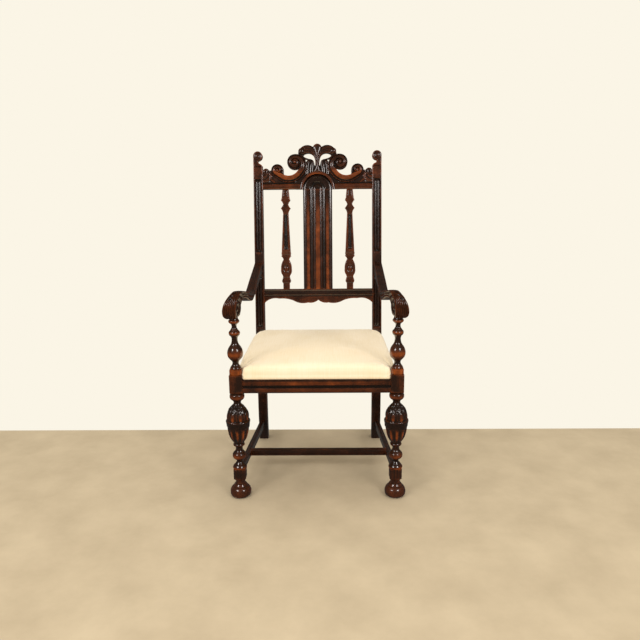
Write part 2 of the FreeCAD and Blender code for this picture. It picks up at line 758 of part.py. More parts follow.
def cross_tenon_bar(grow=0.0, gap=0.0):
    """A tongue through both side stretchers, cut to length by them."""
    place = cross_height()
    y = leg_y + cross_back + (stretcher_width - stretcher_tenon_width) / 2
    reach = place.x - stretcher_width / 2 + cross_tenon + gap
    low = place.z + stretcher_tenon_cut
    return slab(-reach, reach, y - grow, y + stretcher_tenon_width + grow, low - grow,
                low + stretcher_height - 2 * stretcher_tenon_cut + grow)


def side_stretcher():
    start = point_between(stretcher_start, stretcher_end, leg_y)
    end = point_between(stretcher_start, stretcher_end, post_front + post_depth)
    bar = eased_section(start.x, start.y, start.z).extrude(end - start)
    front = slab(0, leg_spread, leg_y - overrun, leg_y + lower_block / 2, 0, leg_block_bottom)
    bar = bar.cut([front, post_body()])
    bar = bar.cut(cross_tenon_bar(tenon_clearance, tenon_end_gap))
    return bar.fuse(stretcher_tenons())


def post_body():
    """The post's plain profile without its mortises, to cope other pieces against."""
    body = face_of(post_side_outline()).extrude(Vector(post_width + overrun, 0, 0))
    body.translate(Vector(post_inner - overrun / 2, 0, 0))
    return body


def cross_stretcher(side_bar):
    place = cross_height()
    y = leg_y + cross_back
    z = place.z
    high = z + stretcher_height
    groove = z + cross_groove_height
    outline = [(Vector(0, y + stretcher_width, z), 0.0), (Vector(0, y, z), 0.0),
               (Vector(0, y, groove), 0.0), (Vector(0, y + cross_groove, groove), 0.0),
               (Vector(0, y + cross_groove, groove + cross_groove), 0.0),
               (Vector(0, y, groove + cross_groove), 0.0),
               (Vector(0, y, high - cross_groove), 0.0), (Vector(0, y + cross_groove, high), 0.0),
               (Vector(0, y + stretcher_width, high), 0.0),
               (Vector(0, y + stretcher_width, z), 0.0)]
    bar = face_of(chain(outline, Vector(1, 0, 0))).extrude(Vector(2 * place.x, 0, 0))
    bar.translate(Vector(-place.x, 0, 0))
    bar = bar.cut([side_bar, mirrored(side_bar)])
    return bar.fuse(cross_tenon_bar())


# The back
def lower_back_rail():
    half = post_inner
    points = [(Vector(share * half, 0, lower_rail_top - drop * lower_rail_deepest), bow)
              for share, drop, bow in lower_rail_shares]
    top_right = Vector(half, 0, lower_rail_top)
    top_middle = Vector(0, 0, lower_rail_top)
    edges = chain(points, Vector(0, 1, 0))
    edges += [segment(points[-1][0], top_middle), segment(top_middle, top_right),
              segment(top_right, points[0][0])]
    rail = face_of(edges).extrude(Vector(0, lower_rail_thickness, 0))
    rail = rail.fuse(mirrored(rail)).removeSplitter()
    rail.translate(Vector(0, lower_rail_setback, 0))
    fillet_z = lower_rail_top - lower_rail_fillet_drop
    fillet = slab(-half, half, lower_rail_setback - lower_rail_fillet, lower_rail_setback,
                  fillet_z, fillet_z + lower_rail_fillet)
    tenon = back_tenon(lower_rail_setback, lower_rail_thickness, *lower_rail_tenon_heights)
    rail = rail.fuse([fillet, tenon, mirrored(tenon)])
    return raked(rail.cut(back_mortises(lower_rail_top, -1)))


def back_mortises(level, way):
    """Holes for the splat's tongue and the balusters' tenons, below or above a level."""
    def span(length):
        deep = length + tenon_end_gap
        return (level - deep, level + overrun) if way < 0 else (level - overrun, level + deep)
    low, high = span(splat_tongue_length)
    grow = tenon_clearance
    y = splat_setback + splat_thickness - splat_tongue - splat_tongue_back
    half = splat_width / 2 - splat_tongue
    holes = [slab(-half - grow, half + grow, y - grow, y + splat_tongue + grow, low, high)]
    low, high = span(spindle_tenon_length)
    y = spindle_setback + (spindle_thickness - spindle_tenon_thickness) / 2
    for side in (-spindle_offset, spindle_offset):
        holes.append(slab(side - spindle_tenon_width / 2 - grow,
                          side + spindle_tenon_width / 2 + grow, y - grow,
                          y + spindle_tenon_thickness + grow, low, high))
    return holes


def splat_half_section(level):
    """Half section of the splat's mouldings, from its middle out to its edge."""
    half = splat_width / 2
    back = splat_setback + splat_thickness
    points = [(Vector(share * half, splat_setback + taken * splat_thickness, level), bow)
              for share, taken, bow in splat_section_shares]
    middle_front = Vector(0, points[-1][0].y, level)
    edges = [segment(Vector(0, back, level), Vector(half, back, level)),
             segment(Vector(half, back, level), points[0][0])]
    line = flats(points, Vector(0, 0, -1)) + [middle_front, Vector(0, back, level)]
    return edges + [segment(a, b) for a, b in zip(line, line[1:])]


def back_splat():
    length = crest_bottom - lower_rail_top
    half = face_of(splat_half_section(lower_rail_top)).extrude(Vector(0, 0, length))
    board = half.fuse(mirrored(half)).removeSplitter()
    y = splat_setback + splat_thickness - splat_tongue - splat_tongue_back
    reach = splat_width / 2 - splat_tongue
    tongue = slab(-reach, reach, y, y + splat_tongue, lower_rail_top - splat_tongue_length,
                  crest_bottom + splat_tongue_length)
    return raked(board.fuse(tongue))


def spindle():
    """The baluster on the right of the splat."""
    length = crest_bottom - lower_rail_top

    def outline(way):
        return [(Vector(spindle_offset + way * share * spindle_half_width, spindle_setback,
                        lower_rail_top + up * length), bow) for up, share, bow in spindle_shares]
    right = outline(1)
    left = outline(-1)
    edges = chain(right, Vector(0, -1, 0)) + chain(left, Vector(0, 1, 0))
    edges += [segment(right[0][0], left[0][0]), segment(right[-1][0], left[-1][0])]
    body = Part.Face(Part.Wire(Part.__sortEdges__(edges))).extrude(
        Vector(0, spindle_thickness, 0))
    y = spindle_setback + (spindle_thickness - spindle_tenon_thickness) / 2
    tenon = slab(spindle_offset - spindle_tenon_width / 2, spindle_offset + spindle_tenon_width / 2,
                 y, y + spindle_tenon_thickness, lower_rail_top - spindle_tenon_length,
                 crest_bottom + spindle_tenon_length)
    return raked(body.fuse(tenon).cut(spindle_channel(length)))


def spindle_channel(length):
    """The long carved channel, widest at its lower end."""
    (low_share, wide_share), (high_share, narrow_share) = spindle_channel_shares
    low = lower_rail_top + low_share * length
    high = lower_rail_top + high_share * length
    wide = spindle_half_width * wide_share
    narrow = spindle_half_width * narrow_share
    front = Vector(spindle_offset, spindle_setback, 0)
    deep = spindle_channel_depth

    def ring(z, half):
        return Part.Wire(Part.makePolygon([front + Vector(-half, 0, z), front + Vector(0, deep, z),
                                           front + Vector(half, 0, z),
                                           front + Vector(0, -deep, z),
                                           front + Vector(-half, 0, z)]))
    return Part.makeLoft([ring(low, wide), ring(high, narrow)], True, True)


# Carved crest rail, drawn upright and then leaned
def disc(shares, front, back, scale=1.0):
    across, up, radius = shares
    centre = Vector(across * crest_height, front, crest_bottom + up * crest_height)
    return Part.makeCylinder(radius * crest_height * scale, back - front, centre, Vector(0, 1, 0))


def band(shares, angles, front, back):
    """Part of a flat ring between two angles, measured about the Y axis from -X upwards."""
    across, up, outer, inner = shares
    centre = Vector(across * crest_height, front, crest_bottom + up * crest_height)

    def at(radius, degrees):
        angle = math.radians(degrees)
        return centre + Vector(-math.cos(angle), 0, math.sin(angle)) * (radius * crest_height)
    first, last = angles
    half_way = (first + last) / 2
    edges = [Part.Arc(at(outer, first), at(outer, half_way), at(outer, last)).toShape(),
             segment(at(outer, last), at(inner, last)),
             Part.Arc(at(inner, last), at(inner, half_way), at(inner, first)).toShape(),
             segment(at(inner, first), at(outer, first))]
    return face_of(edges).extrude(Vector(0, back - front, 0))


def crest_block(x0, x1, up0, up1, front, back):
    return slab(x0, x1, front, back, crest_bottom + up0 * crest_height,
                crest_bottom + up1 * crest_height)


def leaf(front, back):
    """One of the two leaves under the crown, with the opening that pierces it."""
    across, up, radius = leaf_shares
    low = crest_bottom + leaf_low_share * crest_height
    reach = radius * crest_height
    x = across * crest_height
    whole = disc(leaf_shares, front, back)
    whole = whole.common(slab(x - reach, x + reach, front, back, low, low + reach * 2))
    return whole


def opening(front, back):
    """Pointed opening between two arcs."""
    across, up, radius, apart = opening_shares
    high = disc((across, up + apart, radius), front, back)
    return high.common(disc((across, up - apart, radius), front, back))


def volute(shares, front, back):
    """A disc with a sunk ring and a raised eye."""
    grooved = disc(shares, front, back)
    inner, outer = volute_groove_shares
    ring_depth_share, face_depth_share = volute_depth_shares
    floor = front + crest_relief * ring_depth_share
    face = front + crest_relief * face_depth_share
    ring = disc(shares, front, floor, outer).cut(disc(shares, front, floor, inner))
    dished = disc(shares, front, face, inner).cut(disc(shares, front, back, volute_eye_share))
    return grooved.cut([ring, dished])


def crest_rail():
    ground = crest_setback
    back = ground + crest_thickness
    proud = ground - crest_relief
    end_radius, end_up = end_leaf_shares
    half_end = post_inner - 2 * end_radius * crest_height
    end_disc = disc((0, end_up, end_radius), ground - crest_relief / 2, back)
    end_disc.translate(Vector(post_inner - end_radius * crest_height, 0, 0))
    small_x, small_up, small_radius = small_scroll_shares
    plate = [crest_block(half_end, post_inner, 0, end_up, ground, back),
             crest_block(0, half_end, 0, plate_shares[0], ground, back),
             crest_block((small_x - small_radius) * crest_height, half_end,
                         0, small_up, ground, back),
             crest_block(0, scroll_turn_shares[0] * crest_height, 0, plate_shares[1],
                         ground, back),
             crest_block(0, husk_shares[0] * 2 * crest_height, 0, husk_block_share,
                         ground, back),
             disc(husk_shares, ground - crest_relief / 2, back),
             disc(bridge_shares, ground, back),
             end_disc]
    raised = [band(scroll_ring_shares, scroll_ring_angles, proud, back),
              band(scroll_turn_shares, scroll_turn_angles, proud, back),
              volute(small_scroll_shares, proud, back),
              volute(large_volute_shares, proud, back),
              leaf(proud, back),
              disc(leaf_curl_shares, proud, back),
              crest_block(0, stem_shares[0] * crest_height, *stem_shares[1:], proud, back)]
    half = plate[0].fuse(plate[1:] + raised)
    half = half.cut([band(slit_shares, slit_angles, proud - overrun, back + overrun),
                     opening(proud - overrun, back + overrun)])
    rail = half.fuse([mirrored(half), disc(lobe_shares, proud, back)])
    rail = arch(rail, proud, back)
    rail = rail.fuse(crest_beads(ground))
    tenon = back_tenon(crest_setback, crest_thickness, *crest_tenon_heights)
    rail = rail.fuse([tenon, mirrored(tenon)]).removeSplitter()
    return raked(rail.cut(back_mortises(crest_bottom, 1)))


def half_ring(outer, inner, front, back):
    centre = Vector(0, front, crest_bottom)
    ring = Part.makeCylinder(outer, back - front, centre, Vector(0, 1, 0))
    ring = ring.cut(Part.makeCylinder(inner, back - front, centre, Vector(0, 1, 0)))
    return ring.common(slab(-outer, outer, front, back, crest_bottom, crest_bottom + outer))


def splat_steps(half):
    """Radius and depth of the splat's mouldings where they run round its head."""
    points = [(Vector(share * half, splat_setback + taken * splat_thickness, 0), bow)
              for share, taken, bow in splat_section_shares]
    return [(point.x, point.y) for point in flats(points, Vector(0, 0, -1))][::-1]


def arch(rail, proud, back):
    """The splat's mouldings carried round over its head on the face of the crest."""
    radius = splat_width / 2
    deep = splat_setback + splat_thickness
    hollow = Part.makeCylinder(radius, deep - proud + overrun,
                               Vector(0, proud - overrun, crest_bottom), Vector(0, 1, 0))
    rings = [round_outline(Vector(0, y, crest_bottom), Vector(0, 1, 0), r, turning_sides)
             for r, y in splat_steps(radius) + [(radius, deep)]]
    above = slab(-leg_spread, leg_spread, -overrun, overrun, crest_bottom,
                 crest_bottom + crest_height)
    head = stacked(rings[::-1]).common(above)
    hood = half_ring(radius + arch_ring_share * crest_height, radius, proud, back)
    return rail.cut(hollow).fuse([head, hood])


def crest_beads(ground):
    """A flat half-round bead along the lower edge, from the arch to each post."""
    start = splat_width / 2 + arch_ring_share * crest_height
    outline = [(Vector(start, ground, crest_bottom), 0.0),
               (Vector(start, ground, crest_bottom + crest_bead_height), crest_bead_bow),
               (Vector(start, ground, crest_bottom), 0.0)]
    bead = face_of(chain(outline, Vector(1, 0, 0))).extrude(
        Vector(post_inner - start, 0, 0))
    return [bead, mirrored(bead)]


# Loose seat
pad_front_half = leg_x - block_half - pad_block_gap
pad_side_half = post_outer
pad_rear_half = post_outer - pad_rear_inset
pad_bottom = rail_top + soft_gap
pad_front = leg_y - block_half + front_rail_setback - pad_front_overhang
pad_rear = post_front - soft_gap
notch_back = block_back + soft_gap
pad_taper = (pad_side_half - pad_rear_half) / (pad_rear - notch_back)
# A corner's two middle points lie on its arc: out from the chord, and along it either way
corner_swell = (math.cos(math.radians(15)) - math.cos(math.radians(45))) / math.sqrt(2)
corner_spread = math.sin(math.radians(15)) / math.sqrt(2)


def pad_outline(inset, level):
    """Plan of the seat: full width behind the front blocks, narrower between them."""
    front = pad_front + inset
    rear = pad_rear - inset
    notch = notch_back + inset
    narrow = pad_front_half - inset
    side = pad_side_half - inset
    small = pad_notch_radius
    large = pad_corner_radius
    tail = side - pad_taper * (rear - large - notch - small)
    right = corner(Vector(narrow - small, front, level), Vector(narrow, front + small, level))
    right += [Vector(narrow, notch, level)]
    right += corner(Vector(side - small, notch, level), Vector(side, notch + small, level))
    right += corner(Vector(tail, rear - large, level), Vector(tail - large, rear, level))
    return right + [Vector(-point.x, point.y, point.z) for point in reversed(right)]


def corner(start, end):
    """A rounded corner in three short stretches."""
    across = end - start
    middle = (start + end) / 2
    out = Vector(across.y, -across.x, 0) * corner_swell
    return [start, middle - across * corner_spread + out, middle + across * corner_spread + out,
            end]


def seat_pad():
    """Crowned pad with full sides that draw in to the frame below and the edge above."""
    levels = [(inset * pad_crown_inset, pad_bottom + share * pad_height)
              for share, inset in pad_level_shares]
    return stacked([pad_outline(inset, level) for inset, level in levels]).cut(pad_hollow())


def frame_bounds(grow=0.0):
    """Outer front, rear, and half widths of the wooden frame inside the pad."""
    inset = pad_draw_in + frame_inset - grow
    return pad_front + inset, pad_rear - inset, pad_front_half - inset, pad_side_half - inset


def pad_hollow():
    front, rear, narrow, wide = frame_bounds(soft_gap)
    top = rail_top + frame_bar_height + webbing_thickness + soft_gap
    notch = notch_back + pad_draw_in + frame_inset - soft_gap
    tail = pad_rear_half - pad_draw_in - frame_inset + soft_gap
    outline = [Vector(narrow, front, 0), Vector(narrow, notch, 0), Vector(wide, notch, 0),
               Vector(tail, rear, 0), Vector(-tail, rear, 0), Vector(-wide, notch, 0),
               Vector(-narrow, notch, 0), Vector(-narrow, front, 0)]
    return polygon(outline).extrude(Vector(0, 0, top))


def seat_frame_bars():
    """Front, rear, right and left bars of the loose seat's frame, halved at the corners."""
    front, rear, narrow, wide = frame_bounds()
    notch = notch_back + pad_draw_in + frame_inset
    tail = pad_rear_half - pad_draw_in - frame_inset
    low = rail_top
    high = low + frame_bar_height
    middle = (low + high) / 2
    corners = [(narrow, front), (narrow, notch), (wide, notch), (tail, rear)]
    corners += [(-x, y) for x, y in reversed(corners)]
    whole = polygon([Vector(x, y, low) for x, y in corners])
    whole = whole.extrude(Vector(0, 0, frame_bar_height))
    reach = leg_spread
    front_end = front + frame_front_width
    rear_start = rear - frame_bar_width
    side_x = tail - frame_bar_width
    across = [slab(-reach, reach, front, front_end, low, high),
              slab(-reach, reach, rear_start, rear, low, high)]
    laps = [slab(side_x, reach, notch, front_end, middle, high),
            slab(side_x, reach, rear_start, rear, middle, high)]
    laps += [mirrored(lap) for lap in laps]
    bars = [whole.common(part).cut(laps) for part in across]
    side = whole.common(slab(side_x, reach, notch, rear, low, high)).cut(bars)
    return bars[0], bars[1], side, mirrored(side)


def seat_webbing():
    """Bands stretched both ways over the frame, the cross ones under the long ones."""
    front, rear, narrow, wide = frame_bounds()
    tail = pad_rear_half - pad_draw_in - frame_inset
    half_band = webbing_width / 2
    low = rail_top + frame_bar_height
    thin = webbing_thickness / 2
    bands = []
    span = 2 * (tail - webbing_width)
    for step in range(webbing_lengthways):
        x = -span / 2 + span * step / (webbing_lengthways - 1)
        bands.append(slab(x - half_band, x + half_band, front + frame_inset,
                          rear - frame_inset, low + thin, low + 2 * thin))
    first = notch_back + webbing_width * 1.5
    last = rear - webbing_width
    for step in range(webbing_crossways):
        y = first + (last - first) * step / (webbing_crossways - 1)
        bands.append(slab(-tail + frame_inset, tail - frame_inset, y - half_band, y + half_band,
                          low, low + thin))
    return bands[0].fuse(bands[1:])


# Corner blocks and pegs under the seat
def inner_face(y):
    """Where the right-hand side rail's inner face lies at a depth y."""
    return point_between(side_rail_start, side_rail_end, y).x - rail_thickness / 2


rail_corners = [(leg_y - block_half + front_rail_setback + rail_thickness, 1),
                (post_front + rear_rail_setback, -1)]


def seat_pegs(grow=0.0, gap=0.0):
    """Pegs that stand up out of the right-hand corner blocks and locate the loose seat."""
    low = rail_top - seat_peg_length / 2 - gap
    return [peg(Vector(inner_face(y) - seat_peg_place, y + way * seat_peg_place, low),
                Vector(0, 0, 1), seat_peg_length + 2 * gap, seat_peg_radius + grow)
            for y, way in rail_corners]


def corner_blocks():
    """The right-hand pair, fitted round the leg and the post."""
    blocks = []
    low = rail_top - corner_block_height
    grow = tenon_clearance
    around = [slab(leg_x - block_half - grow, leg_x, leg_y - block_half, block_back + grow,
                   0, rail_top + overrun),
              slab(post_inner - grow, post_outer, post_front - grow, post_front + post_depth,
                   0, rail_top + overrun)]
    for y, way in rail_corners:
        far = y + way * corner_block_leg
        outline = [Vector(inner_face(y), y, low), Vector(inner_face(y) - corner_block_leg, y, low),
                   Vector(inner_face(far), far, low)]
        block = polygon(outline).extrude(Vector(0, 0, corner_block_height))
        blocks.append(block.cut(around + seat_pegs(grow, tenon_end_gap)))
    return blocks


def both_sides(shapes):
    return Part.makeCompound(shapes + [mirrored(shape) for shape in shapes])


# Writing each piece under its node's name
os.makedirs("parts", exist_ok=True)


def write(name, shape):
    shape.exportStep("parts/" + name + ".step")
    print(name, "solids", len(shape.Solids), "volume", round(shape.Volume), shape.isValid())


def write_pair(name, right):
    write(name + "_right", right)
    write(name + "_left", mirrored(right))


stretcher = side_stretcher()
seat_holes = both_sides(seat_pegs(tenon_clearance, tenon_end_gap))
write_pair("front_leg", front_leg())
write_pair("bun_foot", bun_foot())
write_pair("arm_support", arm_support())
write_pair("arm", arm())
write("arm_dowels", both_sides(arm_dowel_pair()))
write_pair("rear_post", rear_post())
write("front_seat_rail", front_seat_rail())
write("rear_seat_rail", rear_seat_rail())
write_pair("side_seat_rail", side_seat_rail())
write("corner_blocks", both_sides(corner_blocks()))
write_pair("side_stretcher", stretcher)
write("cross_stretcher", cross_stretcher(stretcher))
write("lower_back_rail", lower_back_rail())
write("back_splat", back_splat())
write_pair("spindle", spindle())
write("crest_rail", crest_rail())
write("seat_pad", seat_pad())
for name, bar in zip(("front", "rear", "right", "left"), seat_frame_bars()):
    write("seat_frame_" + name, bar.cut(seat_holes))
write("seat_pegs", both_sides(seat_pegs()))
write("seat_webbing", seat_webbing())
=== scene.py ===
import math
import bpy
import bmesh
import numpy as np
from mathutils import Matrix, Vector


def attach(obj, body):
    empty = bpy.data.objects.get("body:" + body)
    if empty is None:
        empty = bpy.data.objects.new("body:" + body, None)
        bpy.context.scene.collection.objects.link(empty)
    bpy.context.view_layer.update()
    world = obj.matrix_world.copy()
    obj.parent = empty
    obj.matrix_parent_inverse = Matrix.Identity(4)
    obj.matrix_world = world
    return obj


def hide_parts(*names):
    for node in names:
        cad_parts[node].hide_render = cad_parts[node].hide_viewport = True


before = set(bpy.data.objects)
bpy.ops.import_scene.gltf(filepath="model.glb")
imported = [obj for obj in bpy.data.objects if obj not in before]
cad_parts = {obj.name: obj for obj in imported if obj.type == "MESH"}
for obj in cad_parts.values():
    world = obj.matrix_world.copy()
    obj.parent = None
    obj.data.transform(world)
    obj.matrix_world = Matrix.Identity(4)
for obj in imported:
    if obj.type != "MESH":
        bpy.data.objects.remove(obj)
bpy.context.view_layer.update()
print("frame loaded")

mm = 0.001    # lengths below are millimetres in the frame's own axes

# Places that several pieces share
chair = {
    "legX": 281.0,
    "legY": -289.57,
    "postFront": 188.43,
    "postInner": 226.0,
    "postWidth": 37.0,
    "postDepth": 43.0,
    "postTopDepth": 34.0,
    "rakeDegrees": 9.1,
    "bendHeight": 475.5,
    "railBottom": 399.0,
    "railTop": 450.0,
    "backRailTop": 191.0,     # along the rake from the bend, as the next one
    "crestBottom": 602.5,
}
rake = math.radians(chair["rakeDegrees"])


# Shapes
def onRake(across, depth, up):
    # a place in the leaning plane of the back: across, behind the posts' faces, up the rake
    across, depth, up = np.broadcast_arrays(across, depth, up)
    y = chair["postFront"] + depth * math.cos(rake) + up * math.sin(rake)
    z = chair["bendHeight"] - depth * math.sin(rake) + up * math.cos(rake)
    return np.stack([across, y, z], axis=-1)


def offRake(points):
    # the depth and the height in the plane of the back, from places in the chair
    behind = points[:, 1] - chair["postFront"]
    above = points[:, 2] - chair["bendHeight"]
    return behind * math.cos(rake) - above * math.sin(rake), behind * math.sin(rake) + above * math.cos(rake)


def smoothLine(stops, step):
    # a curve through (place, size) stops; a third value marks a stop where it has a corner
    flat = np.array([stop[:2] for stop in stops], float)
    sharp = [len(stop) > 2 for stop in stops]
    line = []
    for i in range(len(flat) - 1):
        start, end = flat[i], flat[i + 1]
        before = 2 * start - end if i == 0 or sharp[i] else flat[i - 1]
        after = 2 * end - start if i + 2 == len(flat) or sharp[i + 1] else flat[i + 2]
        knots = np.cumsum([0] + [max(np.linalg.norm(b - a), 1e-6) ** 0.5
                                 for a, b in ((before, start), (start, end), (end, after))])
        count = max(2, int(np.linalg.norm(end - start) / step) + 1)
        t = np.linspace(knots[1], knots[2], count, endpoint=False)[:, None]

        def mix(i, j, p, q):
            span = knots[j] - knots[i]
            return (knots[j] - t) / span * p + (t - knots[i]) / span * q
        first, middle, last = mix(0, 1, before, start), mix(1, 2, start, end), mix(2, 3, end, after)
        line.append(mix(1, 2, mix(0, 2, first, middle), mix(1, 3, middle, last)))
    line.append(flat[-1:])
    return np.concatenate(line)


def easing(value, low, high):
    t = np.clip((value - low) / (high - low), 0, 1)
    return t * t * (3 - 2 * t)


def between(value, rise, fall):
    # eases in over one stretch and out over another
    return easing(value, *rise) * (1 - easing(value, *fall))


def bell(value, width):
    return np.exp(-(value / width) ** 2)


def bells(value, places):
    # soft bands, each about its own place with its own width
    return sum(bell(value - at, wide) for at, wide in places)


def dome(share):
    # a half circle's height, none outside -1 to 1
    return np.sqrt(np.clip(1 - share ** 2, 0, 1))


def easedEdge(field, width, most):
    # how far a face falls away beside its outline
    return most * (1 - dome(1 - np.clip(-field, 0, width) / width))


def loft(rings):
    # a shell through closed outlines, with its ends closed
    rings = np.asarray(rings, float)
    count, size = rings.shape[:2]
    faces = []
    for i in range(count - 1):
        for j in range(size):
            k = (j + 1) % size
            faces.append((i * size + j, i * size + k, (i + 1) * size + k, (i + 1) * size + j))
    faces.append(tuple(range(size - 1, -1, -1)))
    faces.append(tuple(range((count - 1) * size, count * size)))
    return rings.reshape(-1, 3), faces


def turning(x, y, line, carve=None, sides=96):
    # a lathe shape about an upright axis; carve adds to its radius
    angle = np.arange(sides) * 2 * math.pi / sides
    height = line[:, 0][:, None]
    radius = line[:, 1][:, None] + np.zeros(sides)
    if carve is not None:
        radius = radius + carve(angle[None, :], height)
    rings = np.stack([x + radius * np.cos(angle), y + radius * np.sin(angle),
                      height + np.zeros(sides)], axis=-1)
    return loft(rings)


def roundedOutline(width, depth, radius, spacing=3.0, chamfer=False):
    # corners eased by a radius or a flat, in a plane, evenly stepped
    points = []
    turns = [(1, -1, -90), (1, 1, 0), (-1, 1, 90), (-1, -1, 180)]
    for sx, sy, start in turns:
        cx, cy = sx * (width / 2 - radius), sy * (depth / 2 - radius)
        steps = 1 if chamfer else 4
        for s in range(steps + 1):
            a = math.radians(start + 90 * s / steps)
            points.append((cx + radius * math.cos(a), cy + radius * math.sin(a)))
    return evened(np.array(points), spacing)


def evened(points, spacing):
    # adds points to a closed outline so that no stretch is longer than the spacing
    out = []
    for a, b in zip(points, np.roll(points, -1, axis=0)):
        count = max(1, int(math.ceil(np.linalg.norm(b - a) / spacing)))
        out += [a + (b - a) * k / count for k in range(count)]
    return np.array(out)


def upright(outline, x, y, heights, easeEnds=1.5):
    # an outline in plan carried up through heights, its ends slightly eased
    rings = []
    low, high = heights[0], heights[-1]
    for z in heights:
        off = max(0.0, easeEnds - min(z - low, high - z))
        scale = 1 - (easeEnds - math.sqrt(max(easeEnds ** 2 - off ** 2, 0))) / (np.abs(outline).max())
        rings.append(np.column_stack([x + outline[:, 0] * scale, y + outline[:, 1] * scale,
                                      np.full(len(outline), z)]))
    return loft(rings)


def insideOutline(outline, a, b):
    # distance to a closed outline, less than zero inside
    best = np.full(a.shape, 1e9)
    inside = np.zeros(a.shape, bool)
    for (ax, ay), (bx, by) in zip(outline, np.roll(outline, -1, axis=0)):
        ex, ey = bx - ax, by - ay
        length = ex * ex + ey * ey
        if length < 1e-9:
            continue
        t = np.clip(((a - ax) * ex + (b - ay) * ey) / length, 0, 1)
        best = np.minimum(best, np.hypot(a - ax - t * ex, b - ay - t * ey))
        crossing = (ay > b) != (by > b)
        at = ax + (b - ay) * ex / (ey if ey else 1e-9)
        inside ^= crossing & (a < at)
    return np.where(inside, -best, best)


def fieldOf(outline):
    return lambda a, b: insideOutline(outline, a, b)


def flatAt(depth):
    return lambda a, b: np.full(a.shape, depth)


def carvedBoard(box, step, distance, front, back, place, rows=1, lift=None):
    # A board sawn to the outline where distance is zero, its two faces carved to the depths
    # that front and back give. Its sawn edge has rows of faces, which lift may mould.
    a0, b0, a1, b1 = box
    na, nb = int((a1 - a0) / step) + 2, int((b1 - b0) / step) + 2
    ga, gb = np.meshgrid(a0 + np.arange(na) * step, b0 + np.arange(nb) * step, indexing="ij")
    field = distance(ga, gb)
    inside = field < 0
    number = np.full(inside.shape, -1)
    number[inside] = np.arange(inside.sum())
    points = [np.column_stack([ga[inside], gb[inside]])]
    total = int(inside.sum())
    whole = inside[:-1, :-1] & inside[1:, :-1] & inside[1:, 1:] & inside[:-1, 1:]
    i, j = np.nonzero(whole)
    faces = np.stack([number[i, j], number[i + 1, j], number[i + 1, j + 1], number[i, j + 1]],
                     axis=1).tolist()
    some = (inside[:-1, :-1] | inside[1:, :-1] | inside[1:, 1:] | inside[:-1, 1:]) & ~whole
    cuts, extra, rim = {}, [], []
    for i, j in zip(*np.nonzero(some)):
        ring = [(i, j), (i + 1, j), (i + 1, j + 1), (i, j + 1)]
        face, kinds = [], []
        for p, q in zip(ring, ring[1:] + ring[:1]):
            if inside[p]:
                face.append(number[p])
                kinds.append("in")
            if inside[p] != inside[q]:
                key = (p, q) if p < q else (q, p)
                if key not in cuts:
                    t = field[key[0]] / (field[key[0]] - field[key[1]])
                    extra.append((ga[key[0]] + t * (ga[key[1]] - ga[key[0]]),
                                  gb[key[0]] + t * (gb[key[1]] - gb[key[0]])))
                    cuts[key] = total + len(extra) - 1
                face.append(cuts[key])
                kinds.append("cutOut" if inside[p] else "cutIn")
        faces.append(face)
        for k in range(len(face)):
            if kinds[k] == "cutOut" and kinds[(k + 1) % len(face)] == "cutIn":
                rim.append((face[k], face[(k + 1) % len(face)]))
    points.append(np.array(extra).reshape(-1, 2))
    flat = np.concatenate(points)
    count = len(flat)
    fa, fb = flat[:, 0], flat[:, 1]
    df, db = front(fa, fb), back(fa, fb)
    df, db = df + np.zeros(count), db + np.zeros(count)
    shape = [place(fa, df, fb), place(fa, db, fb)]
    allFaces = [tuple(int(v) for v in face) for face in faces]
    allFaces += [tuple(int(v) + count for v in reversed(face)) for face in faces]
    rimIds = sorted({v for edge in rim for v in edge})
    slot = {v: n for n, v in enumerate(rimIds)}
    ids = np.array(rimIds)
    away = np.zeros((len(ids), 2))
    for p, q in rim:
        run = flat[q] - flat[p]
        out = np.array([run[1], -run[0]])
        away[slot[p]] += out
        away[slot[q]] += out
    away /= np.maximum(np.linalg.norm(away, axis=1), 1e-9)[:, None]
    layers = [ids]
    size = 2 * count
    for row in range(1, rows):
        t = row / rows
        raised = lift(t, flat[ids, 0], flat[ids, 1], away) if lift else 0.0
        spot = flat[ids] + away * np.broadcast_to(raised, (len(ids),))[:, None]
        depth = df[ids] * (1 - t) + db[ids] * t
        shape.append(place(spot[:, 0], depth, spot[:, 1]))
        layers.append(size + np.arange(len(ids)))
        size += len(ids)
    layers.append(ids + count)
    for upper, lower in zip(layers, layers[1:]):
        for p, q in rim:
            allFaces.append((int(upper[slot[p]]), int(lower[slot[p]]), int(lower[slot[q]]),
                             int(upper[slot[q]])))
    return np.concatenate(shape), allFaces


def mirroredShell(shell):
    points, faces = shell
    return points * np.array([-1, 1, 1]), [tuple(reversed(face)) for face in faces]


def joined(shells):
    return np.concatenate([shell[0] for shell in shells])


def sided(stem, side):
    return stem + ("_right" if side > 0 else "_left")


# Surfaces
def linearColour(text):
    values = [int(text[k:k + 2], 16) / 255 for k in (1, 3, 5)]
    return [v / 12.92 if v <= 0.04045 else ((v + 0.055) / 1.055) ** 2.4 for v in values] + [1.0]


def addNode(tree, kind, settings=None, links=None):
    # settings: input or property names and values; links: input names and the sockets that feed them
    node = tree.nodes.new(kind)
    for key, value in (settings or {}).items():
        if isinstance(key, int) or key in node.inputs:
            node.inputs[key].default_value = value
        else:
            setattr(node, key, value)
    for key, socket in (links or {}).items():
        tree.links.new(socket, node.inputs[key])
    return node


def mathNode(tree, operation, *values, clamp=False):
    # each value is a number or the socket that feeds it
    node = addNode(tree, "ShaderNodeMath", {"operation": operation, "use_clamp": clamp})
    for index, value in enumerate(values):
        if isinstance(value, bpy.types.NodeSocket):
            tree.links.new(value, node.inputs[index])
        else:
            node.inputs[index].default_value = value
    return node.outputs[0]


